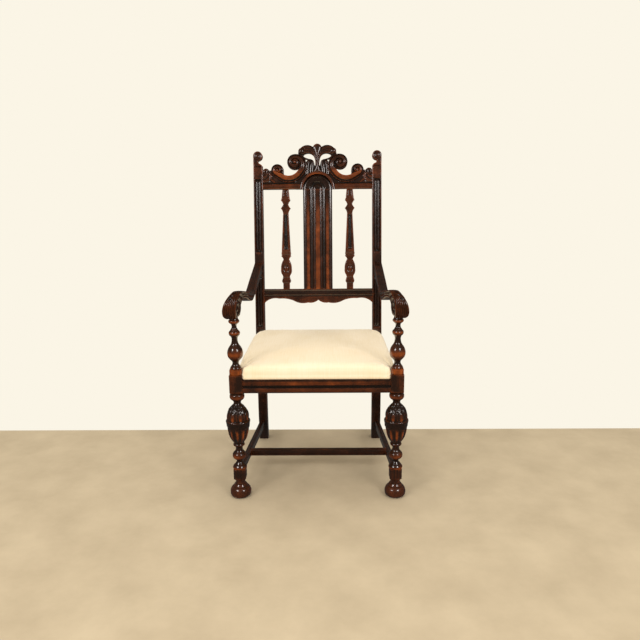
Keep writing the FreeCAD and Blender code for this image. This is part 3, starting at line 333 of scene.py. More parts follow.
def colourRamp(tree, factor, stops):
    ramp = addNode(tree, "ShaderNodeValToRGB", {}, {"Fac": factor})
    elements = ramp.color_ramp.elements
    while len(elements) < len(stops):
        elements.new(0.5)
    for element, (place, colour) in zip(elements, stops):
        element.position = place
        element.color = linearColour(colour)
    return ramp.outputs["Color"]


def emptyMaterial(name):
    material = bpy.data.materials.new(name)
    material.use_nodes = True
    material.node_tree.nodes.clear()
    return material, material.node_tree


def closeMaterial(tree, settings, colour, links=None):
    surface = addNode(tree, "ShaderNodeBsdfPrincipled", settings, {"Base Color": colour, **(links or {})})
    addNode(tree, "ShaderNodeOutputMaterial", {}, {"Surface": surface.outputs["BSDF"]})


def patternPlace(tree, spacing):
    # object space divided by the pattern's own spacing in millimetres along X, Y and Z
    place = addNode(tree, "ShaderNodeTexCoord")
    return addNode(tree, "ShaderNodeMapping", {"Scale": [1 / (s * mm) for s in spacing]},
                   {"Vector": place.outputs["Object"]}).outputs["Vector"]


def noise(tree, spacing, detail, roughness=0.5):
    return addNode(tree, "ShaderNodeTexNoise", {"Scale": 1.0, "Detail": detail, "Roughness": roughness},
                   {"Vector": patternPlace(tree, spacing)}).outputs["Fac"]


def threads(tree, spacing, waver):
    # the two directions of a weave
    return [addNode(tree, "ShaderNodeTexWave", {"Scale": 0.5, "bands_direction": way, "Distortion": waver},
                    {"Vector": patternPlace(tree, [spacing] * 3)}).outputs["Fac"] for way in "XY"]


def relief(tree, height, strength, depth):
    return addNode(tree, "ShaderNodeBump", {"Strength": strength, "Distance": depth * mm},
                   {"Height": height}).outputs["Normal"]


stainedOak = {
    "recess": "#150B04",        # stain and old wax left in the hollows
    "stain": "#291306",
    "rubbed": "#55260A",
    "worn": "#9C4B14",          # where hands and cloths have taken the stain off
    "stops": (0.18, 0.48, 0.68, 0.96),      # of wear, for the four colours
    "grainWidth": 1.6,          # mm, drawn coarser than the real pores
    "grainLength": 46.0,
    "grainShare": 0.30,         # of the colour's range
    "patch": 34.0,              # mm between patches of darker and lighter stain
    "patchShare": 0.46,
    "roughness": 0.24,
    "unevenness": 0.16,         # of the roughness, from patch to patch
    "pores": (0.12, 0.3),       # strength and depth in mm
    "varnish": 0.80,
    "varnishRoughness": 0.11,
    "index": (1.3, 0.2),        # of refraction: without gloss, and what full gloss adds
}


def varnishedWood(name, grainAxis, gloss=1.0):
    # stained oak or beech under old gloss varnish: deep colour, sharp small highlights
    material, tree = emptyMaterial(name)
    spacing = [stainedOak["grainWidth"]] * 3
    spacing["XYZ".index(grainAxis)] = stainedOak["grainLength"]
    grain = noise(tree, spacing, 3.0, 0.6)
    patch = noise(tree, [stainedOak["patch"]] * 3, 4.0, 0.55)
    parts = [mathNode(tree, "MULTIPLY_ADD", source, share, -share / 2)
             for source, share in ((grain, stainedOak["grainShare"]), (patch, stainedOak["patchShare"]))]
    wear = addNode(tree, "ShaderNodeAttribute", {"attribute_name": "wear"}).outputs["Fac"]
    amount = mathNode(tree, "ADD", mathNode(tree, "ADD", *parts), wear, clamp=True)
    tones = [stainedOak[key] for key in ("recess", "stain", "rubbed", "worn")]
    uneven = stainedOak["unevenness"]
    rough = mathNode(tree, "MULTIPLY_ADD", patch, uneven, stainedOak["roughness"] - uneven / 2)
    plain, added = stainedOak["index"]
    closeMaterial(tree, {"IOR": plain + added * gloss, "Coat Weight": stainedOak["varnish"] * gloss,
                         "Coat Roughness": stainedOak["varnishRoughness"]},
                  colourRamp(tree, amount, list(zip(stainedOak["stops"], tones))),
                  {"Roughness": rough, "Normal": relief(tree, grain, *stainedOak["pores"])})
    return material


slubSilk = {
    "deep": "#ECD8B0",
    "light": "#F6E7CB",
    "stops": (0.38, 0.72),
    "slubWidth": 2.2,           # mm across the thick threads
    "slubLength": 70.0,
    "crossLength": 42.0,
    "fade": 120.0,              # mm between paler and deeper places
    "shares": (0.6, 0.25, 0.35),            # of the slubs, the cross threads and the fading
    "thread": 1.3,              # mm, drawn coarser than the real 0.4
    "weave": (0.18, 0.4),       # strength and depth in mm
    "roughness": 0.62,
    "sheen": 0.35,
    "sheenRoughness": 0.4,
}


def wovenSilk(name):
    # silk woven with slubs: cream, faintly streaked from front to back, soft sheen
    material, tree = emptyMaterial(name)
    long, wide = slubSilk["slubLength"], slubSilk["slubWidth"]
    slub = noise(tree, [wide, long, long], 3.0, 0.65)
    cross = noise(tree, [slubSilk["crossLength"], wide, wide], 2.0)
    fade = noise(tree, [slubSilk["fade"]] * 3, 2.0)
    mixed = 0.0
    for source, share in zip((slub, cross, fade), slubSilk["shares"]):
        mixed = mathNode(tree, "MULTIPLY_ADD", source, share, mixed)
    weave = mathNode(tree, "MAXIMUM", *threads(tree, slubSilk["thread"], 0.4))
    height = mathNode(tree, "MULTIPLY_ADD", weave, 0.5, slub)
    tones = [slubSilk["deep"], slubSilk["light"]]
    closeMaterial(tree, {"Roughness": slubSilk["roughness"], "IOR": 1.45, "Sheen Weight": slubSilk["sheen"],
                         "Sheen Roughness": slubSilk["sheenRoughness"]},
                  colourRamp(tree, mixed, list(zip(slubSilk["stops"], tones))),
                  {"Normal": relief(tree, height, *slubSilk["weave"])})
    return material


plainBeech = {"dark": "#8A6238", "pale": "#B98C58", "streaks": (40.0, 40.0, 2.5), "roughness": 0.72}
plainJute = {"dark": "#6F5434", "pale": "#B3925F", "thread": 1.8, "roughness": 0.9}


def sawnBeech(name):
    # unfinished beech of the hidden frame: pale, dry, lightly streaked
    material, tree = emptyMaterial(name)
    grain = noise(tree, plainBeech["streaks"], 4.0, 0.6)
    closeMaterial(tree, {"Roughness": plainBeech["roughness"], "IOR": 1.5},
                  colourRamp(tree, grain, [(0.3, plainBeech["dark"]), (0.7, plainBeech["pale"])]),
                  {"Normal": relief(tree, grain, 0.2, 0.3)})
    return material


def juteWeb(name):
    # coarse jute webbing, its threads crossing
    material, tree = emptyMaterial(name)
    weave = mathNode(tree, "MULTIPLY", *threads(tree, plainJute["thread"], 0.8))
    closeMaterial(tree, {"Roughness": plainJute["roughness"]},
                  colourRamp(tree, weave, [(0.1, plainJute["dark"]), (0.7, plainJute["pale"])]),
                  {"Normal": relief(tree, weave, 0.5, 0.5)})
    return material


def besideMean(mesh):
    # a function that gives, for each point of a mesh, the mean of its neighbours' values
    count = len(mesh.vertices)
    edge = np.empty(len(mesh.edges) * 2, np.int64)
    mesh.edges.foreach_get("vertices", edge)
    edge = edge.reshape(-1, 2)
    degree = np.maximum(np.bincount(edge.ravel(), minlength=count), 1)[:, None]

    def mean(values):
        total = np.zeros_like(values)
        for k in range(values.shape[1]):
            total[:, k] = (np.bincount(edge[:, 0], values[edge[:, 1], k], count)
                           + np.bincount(edge[:, 1], values[edge[:, 0], k], count))
        return total / degree
    return mean


def markWear(mesh, rounds, reach, handled):
    # ridges rub lighter and hollows stay dark: each point against its smoothed surroundings
    count = len(mesh.vertices)
    place = np.empty(count * 3)
    mesh.vertices.foreach_get("co", place)
    place = place.reshape(-1, 3) / mm
    normal = np.empty(count * 3)
    mesh.vertices.foreach_get("normal", normal)
    normal = normal.reshape(-1, 3)
    beside = besideMean(mesh)
    smoothed = place.copy()
    for _ in range(rounds):
        smoothed = 0.3 * smoothed + 0.7 * beside(smoothed)
    raised = ((place - smoothed) * normal).sum(axis=1)
    wear = np.clip(raised / reach, -1, 1)[:, None]
    for _ in range(2):
        wear = 0.5 * wear + 0.5 * beside(wear)
    values = np.clip(0.5 + np.where(wear[:, 0] > 0, 0.20, 0.40) * wear[:, 0] + handled, 0, 1)
    mesh.attributes.new("wear", "FLOAT", "POINT").data.foreach_set("value", values.astype(np.float32))


def newPiece(name, shells, material, slotName, replaced=(), sharpAngle=40.0, wearRounds=8,
             wearReach=0.9, handled=0.0):
    # joins shells into one piece that rides on the chair; handled is a number or one for each point
    points, faces, start = [], [], 0
    for shellPoints, shellFaces in shells:
        points.append(shellPoints)
        faces += [tuple(v + start for v in face) for face in shellFaces]
        start += len(shellPoints)
    mesh = bpy.data.meshes.new(name)
    mesh.from_pydata((np.concatenate(points) * mm).tolist(), [], faces)
    work = bmesh.new()
    work.from_mesh(mesh)
    bmesh.ops.recalc_face_normals(work, faces=work.faces)
    work.to_mesh(mesh)
    work.free()
    mesh.shade_smooth()
    mesh.set_sharp_from_angle(angle=math.radians(sharpAngle))
    if wearRounds:
        markWear(mesh, wearRounds, wearReach, handled)
    piece = bpy.data.objects.new(name, mesh)
    bpy.context.scene.collection.objects.link(piece)
    mesh.materials.append(material)
    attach(piece, "root")
    if replaced:
        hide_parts(*replaced)
    return piece


def woodPiece(kind, node, shells, material, **options):
    return newPiece(kind + "_" + node, shells, material, "stained_wood", [node], **options)


woodUp = varnishedWood("stained oak, upright grain", "Z")
woodAcross = varnishedWood("stained oak, grain across", "X")
woodDeep = varnishedWood("stained oak, grain front to back", "Y")
woodArm = varnishedWood("stained oak, rubbed arm", "Y", gloss=0.45)
silk = wovenSilk("slub silk, woven")
beech = sawnBeech("beech, sawn")
jute = juteWeb("jute webbing, woven")
print("surfaces made")


# Front legs
leg = {
    "outline": [
        (109.3, 15.0, 1), (109.6, 23.0), (111, 25.0), (115.5, 24.6), (120, 22.0), (123, 19.8, 1),
        (125, 17.6), (129, 14.6), (133, 11.9), (136, 10.8), (139, 11.4), (143, 14.5, 1), (147, 19.5),
        (152, 23.4), (159, 24.6), (166, 23.2), (171, 19.5), (176, 15.2), (181, 12.8), (186, 12.2),
        (191, 13.0), (195, 16.0, 1), (197.5, 19.4), (201, 20.6), (204.5, 19.4), (207, 17.2, 1),
        (214, 21.6), (222, 26.4), (229.5, 30.2), (241, 34.0), (254, 36.6), (265, 38.2), (272, 39.2),
        (280, 39.9), (285, 40.6), (289, 41.6), (293, 41.6), (296, 40.2), (298, 38.8, 1), (301, 38.7),
        (308, 38.4), (318, 37.4), (327, 35.2), (335, 31.4), (343, 25.4), (350, 18.8), (354, 15.0, 1),
        (357, 13.4), (361, 13.0), (366, 14.6), (370, 18.0, 1), (373, 22.0), (378, 25.4), (384, 26.2),
        (390, 25.2), (395, 21.6), (398, 19.0), (400.5, 18.0, 1),
    ],
    "block": (46.0, 400, 466),          # width, bottom and top
    "lowerBlock": (44.0, 69, 109.5),
    "lowerChamfer": 6.5,
    "grooves": (3, 1.6),        # reeds between them on each face, and depth
    # counts round the leg, the heights where each kind begins and ends, and relief
    "tongues": 10,
    "tongueSpan": ((209, 222), (262, 268)),
    "tongueRelief": (0.66, 2.7, 2.0),   # half width as a share, rise, and how far its ground is sunk
    "petals": 8,
    "petalTip": (267, 15, 1.4),         # lowest, how far it rises between the petals, and softness
    "petalEnd": (295, 299),
    "lobes": 8,
    "lobeMiddle": 311,
    "lobeSize": (0.62, 17.5, 2.0),      # half width as a share, half height, and its skew
    "lobeRelief": (3.4, 1.5),
    "coverSpan": ((294, 299), (346, 352)),
    # low, high, how many, turned by a share of their spacing, width share, relief
    "leafRows": [(300, 332, 8, 0.0, 0.42, 1.9), (325, 338, 12, 0.5, 0.80, 1.5),
                 (333, 345, 12, 0.0, 0.80, 1.4), (340, 351, 12, 0.5, 0.80, 1.2)],
    "rubbedBeads": ((157, 8), (113, 3), (382, 6)),      # heights and reaches
    "rubbedLobe": (0.30, 305, 8.5),
    "rubbedTongue": (0.34, (214, 236), (254, 268)),
    "darkSpans": (((322, 330), (350, 356)), ((268, 272), (290, 297))),
    # how much lighter each of these is
    "rub": {"lobe": 0.28, "tongue": 0.25, "bead": 0.22, "dark": -0.16, "outerBlock": 0.15,
            "innerBlock": -0.09},
}


def around(angle, count, phase=0.0):
    # how far, from -1 to 1, an angle lies from the nearest of evenly spaced places, the front first
    step = 2 * math.pi / count
    return ((angle + math.pi / 2 - phase * step + step / 2) % step - step / 2) / (step / 2)


def legCarving(angle, height):
    # tongues on the cup, an everted rim of petals, lobes among pointed leaves on the cover
    angle, height = np.broadcast_arrays(angle, height)
    carved = np.zeros(angle.shape)
    half, rise, sunk = leg["tongueRelief"]
    tongue = np.abs(around(angle, leg["tongues"]))
    carved += between(height, *leg["tongueSpan"]) * (rise * dome(tongue / half) - sunk)
    petal = np.abs(around(angle, leg["petals"]))
    lowest, rise, soft = leg["petalTip"]
    tip = lowest + rise * petal ** 1.6
    rim = between(height, (tip - soft, tip + soft), leg["petalEnd"])
    carved += rim * (1.3 - 0.9 * petal ** 3 + 0.3 * np.cos(around(angle, 40) * math.pi))
    wide, tall, skew = leg["lobeSize"]
    above = height - leg["lobeMiddle"]
    egg = (around(angle, leg["lobes"], 0.5) / wide) ** 2 + (above / (tall + skew * np.sign(above))) ** 2
    cover = between(height, *leg["coverSpan"])
    rise, sunk = leg["lobeRelief"]
    carved += cover * (rise * np.sqrt(np.clip(1 - egg, 0, 1)) - sunk)
    # pointed leaves rise between the lobes, and rows of small scales above them
    for rowBottom, rowTop, count, phase, wide, most in leg["leafRows"]:
        t = np.clip((height - rowBottom) / (rowTop - rowBottom), 0, 1)
        taper = np.maximum(wide * np.sin(math.pi * (0.25 + 0.75 * t)), 0.02)
        leaf = np.abs(around(angle, count, phase)) / taper
        show = cover * easing(height, rowBottom - 1.5, rowBottom + 2) * easing(egg, 0.9, 1.15)
        carved += show * (most * np.clip(1 - leaf, 0, 1) ** 0.6 - 0.3 * most * bell(leaf, 0.16))
    return carved


def legWear(points):
    # red where the lobes and tongues have been rubbed, and on the beads
    x, y, z = points[:, 0], points[:, 1], points[:, 2]
    side = np.sign(x)
    angle = np.arctan2(y - chair["legY"], side * x - chair["legX"])
    wide, middle, tall = leg["rubbedLobe"]
    lobe = bell(around(angle, leg["lobes"], 0.5), wide) * bell(z - middle, tall)
    wide, rise, fall = leg["rubbedTongue"]
    tongue = np.exp(-(around(angle, leg["tongues"]) / wide) ** 4) * between(z, rise, fall)
    dark = sum(between(z, *span) for span in leg["darkSpans"])
    rub = leg["rub"]
    outer = easing(side * x, chair["legX"] - 12, chair["legX"] + 12)
    block = easing(z, 404, 412) * (rub["outerBlock"] * outer + rub["innerBlock"])
    return (rub["lobe"] * lobe + rub["tongue"] * tongue + rub["bead"] * bells(z, leg["rubbedBeads"])
            + rub["dark"] * dark - 0.03 + block)


def reededOutline(width, chamfer, reeds, deep):
    # square in plan with flat corners and grooves between reeds on each face
    base = roundedOutline(width, width, chamfer, 1.2, chamfer=True)
    half = width / 2
    out = []
    for x, y in base:
        along = y if abs(x) > abs(y) else x
        groove = 0
        if max(abs(x), abs(y)) > half - 0.2 and abs(along) < half - chamfer - 0.5:
            wave = abs(math.sin(reeds * math.pi * (along / (half - chamfer) + 1) / 2))
            groove = deep * wave ** 0.6 - deep
        scale = (half + groove) / half
        out.append((x * scale, y) if abs(x) > abs(y) else (x, y * scale))
    return np.array(out)


def heightsBetween(low, high, step):
    inner = np.linspace(low + 1.5, high - 1.5, max(2, int((high - low) / step)))
    return [low, low + 0.5, *inner, high - 0.5, high]


def frontLeg(side):
    x, y = side * chair["legX"], chair["legY"]
    block, *blockSpan = leg["block"]
    lower, *lowerSpan = leg["lowerBlock"]
    shells = [turning(x, y, smoothLine(leg["outline"], 1.3), legCarving, 144),
              upright(roundedOutline(block, block, 2.0), x, y, heightsBetween(*blockSpan, 4)),
              upright(reededOutline(lower, leg["lowerChamfer"], *leg["grooves"]), x, y,
                      heightsBetween(*lowerSpan, 3))]
    woodPiece("turned", sided("front_leg", side), shells, woodUp, handled=legWear(joined(shells)))


# Bun feet
bunFoot = {
    "outline": [(0, 24.0, 1), (0.8, 28.5), (3, 33.0), (7, 36.4), (12, 37.6), (17, 37.9), (22, 37.5),
                (27, 36.2), (31, 34.4), (35, 31.4), (38, 28.4, 1), (38.6, 26.4, 1), (42, 25.2), (46, 22.8),
                (49, 20.8, 1), (49.6, 19.2, 1), (53, 18.2), (58, 17.2), (63, 18.2), (67, 20.4),
                (69, 21.2, 1)],
}


def bunFootPiece(side):
    ball = turning(side * chair["legX"], chair["legY"], smoothLine(bunFoot["outline"], 1.2), None, 112)
    woodPiece("turned", sided("bun_foot", side), [ball], woodUp, handled=0.03)


# Arm supports
support = {
    "outline": [(484.5, 17.0, 1), (485.2, 19.4), (488.5, 19.6), (494, 16.8), (500, 12.6), (507, 10.8),
                (512, 12.2), (516, 15.0, 1), (522, 20.6), (528, 24.9), (535, 27.0), (543, 27.5),
                (550, 26.5), (557, 24.2), (563, 21.2), (568, 17.6), (573, 14.4), (578, 12.2), (590, 10.2),
                (598, 11.2), (603, 13.6, 1), (606, 17.2), (610, 19.1), (615, 19.5), (619.5, 18.0),
                (622, 15.2, 1), (627, 12.2), (632, 9.4), (638, 8.5), (643, 9.2), (647, 12.0, 1),
                (650, 16.4), (654, 18.9), (658, 18.6), (662, 15.6, 1), (665, 14.4), (668.2, 14.0, 1)],
    "collar": 43.0,
    "collarChamfer": 8.5,
    "collarBottom": 466.0,
    "collarTop": 485.0,
    "rubbedBeads": ((615, 4), (655, 4), (540, 12), (476, 9)),
    "darkNecks": ((507, 8), (590, 10), (638, 7)),
}


def armSupport(side):
    x, y = side * chair["legX"], chair["legY"]
    collar = roundedOutline(support["collar"], support["collar"], support["collarChamfer"], 2.5, chamfer=True)
    shells = [turning(x, y, smoothLine(support["outline"], 1.2), None, 96),
              upright(collar, x, y, heightsBetween(support["collarBottom"], support["collarTop"], 3), 2.0)]
    z = joined(shells)[:, 2]
    woodPiece("turned", sided("arm_support", side), shells, woodUp,
              handled=0.24 * bells(z, support["rubbedBeads"]) - 0.12 * bells(z, support["darkNecks"]))


for side in (1, -1):
    frontLeg(side)
    bunFootPiece(side)
    armSupport(side)
print("turnings made")


# Rear posts
post = {
    "kickHeight": 138.0,
    "footKick": 14.0,
    "footDepth": 40.0,
    "shoulder": 697.0,
    "top": 756.0,
    "channels": ((30.0, 248.0), (342.0, 646.0)),
    "channelHalf": 12.0,
    "channelDepth": 5.0,
    "reedRadius": 4.9,
    "reedHeight": 4.2,
    "reedOffset": 5.7,
    "edge": 1.6,
    "bendRun": 17.0,            # half the stretch in which the post bends
    "paleUp": ((645, 665), (700, 722)),     # worn stretches up the rake and down from the bend
    "paleDown": ((55, 85), (160, 320)),
    "coil": 8.0,                # between the turns of the ear's scroll
}


def channelDepth(across, up):
    # how deep the face is cut at a place: two reeds in a stopped channel
    deep = np.zeros(np.broadcast(across, up).shape)
    for low, high in post["channels"]:
        ends = between(up, (low, low + 9), (high - 9, high))
        walls = 1 - easing(np.abs(across), post["channelHalf"] - 0.9, post["channelHalf"] + 0.5)
        reed = sum(dome((across - way * post["reedOffset"]) / post["reedRadius"])
                   for way in (-1, 1)) * post["reedHeight"]
        tip = dome(np.clip((low + 16 - up) / 9, 0, 1)) * dome(np.clip((up - high + 16) / 9, 0, 1))
        deep = deep + ends * walls * (post["channelDepth"] - reed * tip)
    return deep


def postSpine(up):
    # the post's front line and lean at a height (below the bend) or place up the rake
    run = post["bendRun"]
    if up <= -run:
        z = chair["bendHeight"] + up
        kick = post["footKick"] * max(0.0, 1 - z / post["kickHeight"]) ** 2
        return chair["postFront"] + kick, z, 0.0
    if up >= run:
        return chair["postFront"] + up * math.sin(rake), chair["bendHeight"] + up * math.cos(rake), rake
    t = (up + run) / (2 * run)
    y = chair["postFront"] + t * t * run * math.sin(rake)
    z = chair["bendHeight"] - run + 2 * t * (1 - t) * run + t * t * run * (1 + math.cos(rake))
    return y, z, rake * easing(up, -run, run)


def postThickness(up):
    thick = chair["postDepth"]
    run = post["bendRun"]
    if up > run:
        thick += (chair["postTopDepth"] - chair["postDepth"]) * (up - run) / (post["top"] - run)
    low = chair["bendHeight"] + up
    if low < post["kickHeight"]:
        thick += (post["footDepth"] - chair["postDepth"]) * (1 - low / post["kickHeight"])
    return thick


def rearPost(side):
    half = chair["postWidth"] / 2
    middle = chair["postInner"] + half
    edge, corner, run = post["edge"], 0.5, post["bendRun"]
    frontX = np.concatenate([[-half + corner], np.linspace(-half + edge, half - edge, 56), [half - corner]])
    backX = np.linspace(half - edge, -half + edge, 8)
    sideX = np.full(12, half)
    x = np.concatenate([frontX, sideX, [half - corner], backX, [-half + corner], -sideX])
    ups = [*np.arange(-chair["bendHeight"], -run, 7.0), *np.arange(-run, run + 11, 3.0),
           *np.arange(run + 11, post["shoulder"], 2.6), post["shoulder"]]
    rings = []
    for up in ups:
        y, z, lean = postSpine(up)
        thick = postThickness(up)
        down = np.linspace(0, 1, len(sideX)) * (thick - 2 * edge)
        face = channelDepth(frontX, up)
        face[[0, -1]] = corner
        depth = np.concatenate([face, edge + down, [thick - corner], np.full(len(backX), thick),
                                [thick - corner], thick - edge - down])
        rings.append(np.column_stack([side * (middle + x), y + depth * math.cos(lean),
                                      z - depth * math.sin(lean)]))
    shells = [loft(rings), postEar(side)]
    points = joined(shells)
    up = (points[:, 2] - chair["bendHeight"]) / math.cos(rake)
    across = np.abs(np.abs(points[:, 0]) - middle)
    bare = 0.7 * between(up, *post["paleUp"]) + 1.4 * between(-up, *post["paleDown"])
    cut = np.any([(up > low + 2) & (up < high - 2) for low, high in post["channels"]], axis=0)
    inChannel = (across < post["channelHalf"] - 0.5) & cut
    edges = easing(across, 13, 16) * easing(up, 340, 420)
    woodPiece("moulded", sided("rear_post", side), shells, woodUp,
              handled=0.17 * bare + 0.05 * edges - 0.14 * inChannel - 0.08 * easing(-up, 230, 380) - 0.03)


def postEar(side):
    # the scroll sawn and carved on top of a post
    width = chair["postWidth"]
    inner, top = chair["postInner"], post["top"]
    radius = width / 2
    centre = (inner + radius, top - radius)
    outline = [(inner + width, post["shoulder"] - 8), (inner + width, centre[1])]
    for degrees in range(6, 264, 6):
        a = math.radians(degrees)
        outline.append((centre[0] + radius * math.cos(a), centre[1] + radius * math.sin(a)))
    outline += [(inner + 0.50 * width, top - 1.0 * width - 1), (inner + 0.45 * width, top - 1.24 * width),
                (inner + 0.34 * width, top - 1.34 * width), (inner + 0.16 * width, top - 1.42 * width),
                (inner, top - 1.58 * width), (inner, post["shoulder"] - 8)]
    outline = np.array(outline)

    def front(a, b):
        field = insideOutline(outline, a, b)
        away = np.hypot(a - centre[0], b - centre[1])
        turn = np.arctan2(b - centre[1], a - centre[0])
        coil = (away / post["coil"] - turn / (2 * math.pi)) % 1.0
        ridge = np.abs(np.sin(coil * math.pi)) ** 0.7
        inDisc = 1 - easing(away, radius - 2.5, radius - 0.5)
        eased = np.clip(1 - np.clip(-field, 0, 1.8) / 1.8, 0, 1) ** 2 * 1.4
        return inDisc * (1.6 - 1.5 * ridge) * (b > top - 1.02 * width) + eased

    def back(a, b):
        run = post["bendRun"]
        return chair["postDepth"] + (chair["postTopDepth"] - chair["postDepth"]) * (b - run) / (top - run)
    shell = carvedBoard((inner - 2, post["shoulder"] - 9, inner + width + 2, top + 2), 1.1, fieldOf(outline),
                        front, back, onRake)
    return shell if side > 0 else mirroredShell(shell)


for side in (1, -1):
    rearPost(side)
print("posts made")


# Splat and the mouldings that run up it and round its head
splat = {
    "half": 60.0,
    "back": 25.0,
    "front": [(0, 7.5), (8.8, 7.5, 1), (9.3, 8.4, 1), (10.0, 6.4), (12.0, 6.1), (14.5, 6.8), (17.0, 7.9),
              (19.2, 9.5, 1), (20.8, 11.9), (25, 13.4), (29.6, 12.2), (32.4, 9.8, 1), (33.2, 11.3, 1),
              (46.8, 11.3, 1), (47.6, 9.4, 1), (49.6, 9.0), (54, 9.9), (60, 12.4)],
    "edge": [13.2, 18.0, 24.0],         # depths down its sawn edge
    "fadeUp": (470, 600),
}
splatLine = smoothLine(splat["front"], 0.5)


def splatDepth(away):
    return np.interp(np.abs(away), splatLine[:, 0], splatLine[:, 1])


def backSplat():
    half, back = splat["half"], splat["back"]
    x = np.linspace(-half + 0.4, half - 0.4, 150)
    ringX = np.concatenate([x, [half] * 3, np.linspace(half - 1, 1 - half, 20), [-half] * 3])
    ringD = np.concatenate([splatDepth(x), splat["edge"], np.full(20, back), splat["edge"][::-1]])
    ups = np.linspace(chair["backRailTop"], chair["crestBottom"], 90)
    body = loft([onRake(ringX, ringD, up) for up in ups])
    across = np.abs(body[0][:, 0])
    depth, up = offRake(body[0])
    red = (1 - easing(across, 8.2, 9.4)) + between(across, (33, 35), (45.5, 47))
    dark = between(across, (18, 20), (31, 34)) + easing(across, 50, 56)
    fade = 1 - easing(up, *splat["fadeUp"])
    woodPiece("moulded", "back_splat", [body], woodUp, wearReach=1.6,
              handled=((0.05 + 0.21 * fade) * red - 0.09 * dark) * (depth < 16) - 0.02)


backSplat()


# Crest rail, carved on a grid in the plane of the back
crest = {
    "ground": 7.0,
    "back": 27.0,
    "half": 226.0,
    "step": 1.05,
    "boxes": [(-1, 226, 602.5, 632.0), (197, 226, 602, 672.8), (139, 198, 602, 679), (-1, 90, 602, 661.2),
              (-1, 48, 602, 699.8), (-1, 9.5, 600, 764), (40, 62, 655, 674)],
    # discs have a place and a radius, rings two radii
    "endLeaf": (211.6, 672.8, 14.4),
    "smallScroll": (164.6, 679.0, 25.5),
    "ring": (119.1, 704.0, 75.1, 46.1),
    "turn": (89.9, 699.0, 46.1, 22.9),
    "volute": (93.0, 712.6, 31.2),
    "leaf": (40.7, 742.1, 38.5),
    "curl": (65.3, 756.5, 12.5),
    "leafFloor": 722.7,
    "opening": [(58.8, 736.6, 1), (52.0, 743.6), (42.0, 746.8), (31.0, 746.6), (21.0, 742.6), (14.0, 735.0),
                (10.2, 724.0), (8.3, 711.0), (8.6, 697.5, 1), (11.4, 698.0, 1), (12.8, 708.0), (16.2, 717.0),
                (24.0, 722.4), (36.0, 725.2), (48.0, 729.4), (58.8, 736.6, 1)],
    "husk": (24.0, 704.0, 23.0),
    "neck": (66.4, 738.0, 9.2),
    "lobe": (0.0, 768.0, 18.0),
    "hood": (59.0, 65.0, 71.5),     # inner, middle and outer distance from the splat head's centre
    "bead": (612.8, 10.8, 6.5),     # height, half width and rise of the moulding along the foot
    "beadBox": (70, 230, 602, 623.8),
    "cornerBox": (120, 230, 627, 700),
    "huskGround": (0, 672.0, 64.0),
    "belly": (-0.32, 0.74, 0.42, 6.2),      # of the C-scroll, in half widths: middle, reach, end; rise
    "fillet": (0.70, 0.80, 4.6),            # where it starts and is full, and its rise
    "red": 0.26,                            # how worn the belly is
}
crestOpening = smoothLine(crest["opening"], 2.0)[:-1]


def discField(a, b, spec):
    return np.hypot(a - spec[0], b - spec[1]) - spec[2]


def ringField(a, b, spec, angles):
    # part of a flat ring; angles are measured from the left upwards
    away = np.hypot(a - spec[0], b - spec[1])
    turn = np.degrees(np.arctan2(b - spec[1], -(a - spec[0])))
    first, last = angles
    middle, reach = (first + last) / 2, (last - first) / 2
    past = np.abs((turn - middle + 180) % 360 - 180) - reach
    return np.maximum(np.maximum(away - spec[2], spec[3] - away), np.radians(past) * away)


def boxField(a, b, a0, a1, b0, b1):
    return np.maximum(np.maximum(a0 - a, a - a1), np.maximum(b0 - b, b - b1))


def crestOutline(a, b):
    a = np.abs(a)
    fields = [boxField(a, b, *box) for box in crest["boxes"]]
    fields += [discField(a, b, crest[key])
               for key in ("endLeaf", "smallScroll", "volute", "husk", "neck", "curl", "lobe")]
    fields += [ringField(a, b, crest["ring"], (200, 341)), ringField(a, b, crest["turn"], (-44, 95)),
               np.maximum(discField(a, b, crest["leaf"]), crest["leafFloor"] - b)]
    return np.maximum(np.minimum.reduce(fields), -insideOutline(crestOpening, a, b))


def strokeField(a, b, stops, step=1.6):
    # nearest place on a tapering stroke through (across, up, half width) stops: how far out it
    # is in half widths, the same with the stroke's left side positive, and the outline's field
    stops = np.array(stops, float)
    line = smoothLine(stops[:, :2].tolist(), step)
    along = np.concatenate([[0], np.cumsum(np.hypot(*np.diff(line, axis=0).T))])
    places = np.maximum.accumulate([np.argmin(np.hypot(*(line - stop[:2]).T)) for stop in stops])
    half = np.interp(along, along[places], stops[:, 2])
    way = np.gradient(line, axis=0)
    way /= np.maximum(np.hypot(*way.T), 1e-9)[:, None]
    near = np.full(a.shape, 1e9)
    side = np.zeros(a.shape)
    field = np.full(a.shape, 1e9)
    for (x, up), (wx, wu), h in zip(line, way, half):
        away = np.hypot(a - x, b - up)
        share = away / h
        closer = share < near
        near = np.where(closer, share, near)
        side = np.where(closer, (wx * (b - up) - wu * (a - x)) / h, side)
        field = np.minimum(field, away - h)
    return near, side, field


def turnStops(centre, turns):
    # stops of a scroll: degrees from across, distance from its eye, half width
    return [(centre[0] + r * math.cos(math.radians(d)), centre[1] + r * math.sin(math.radians(d)), h)
            for d, r, h in turns]


def bandStops(centre, distance, turns):
    # the same along a ring, its angles measured as ringField does
    return [(centre[0] - distance * math.cos(math.radians(d)),
             centre[1] + distance * math.sin(math.radians(d)), h) for d, h in turns]


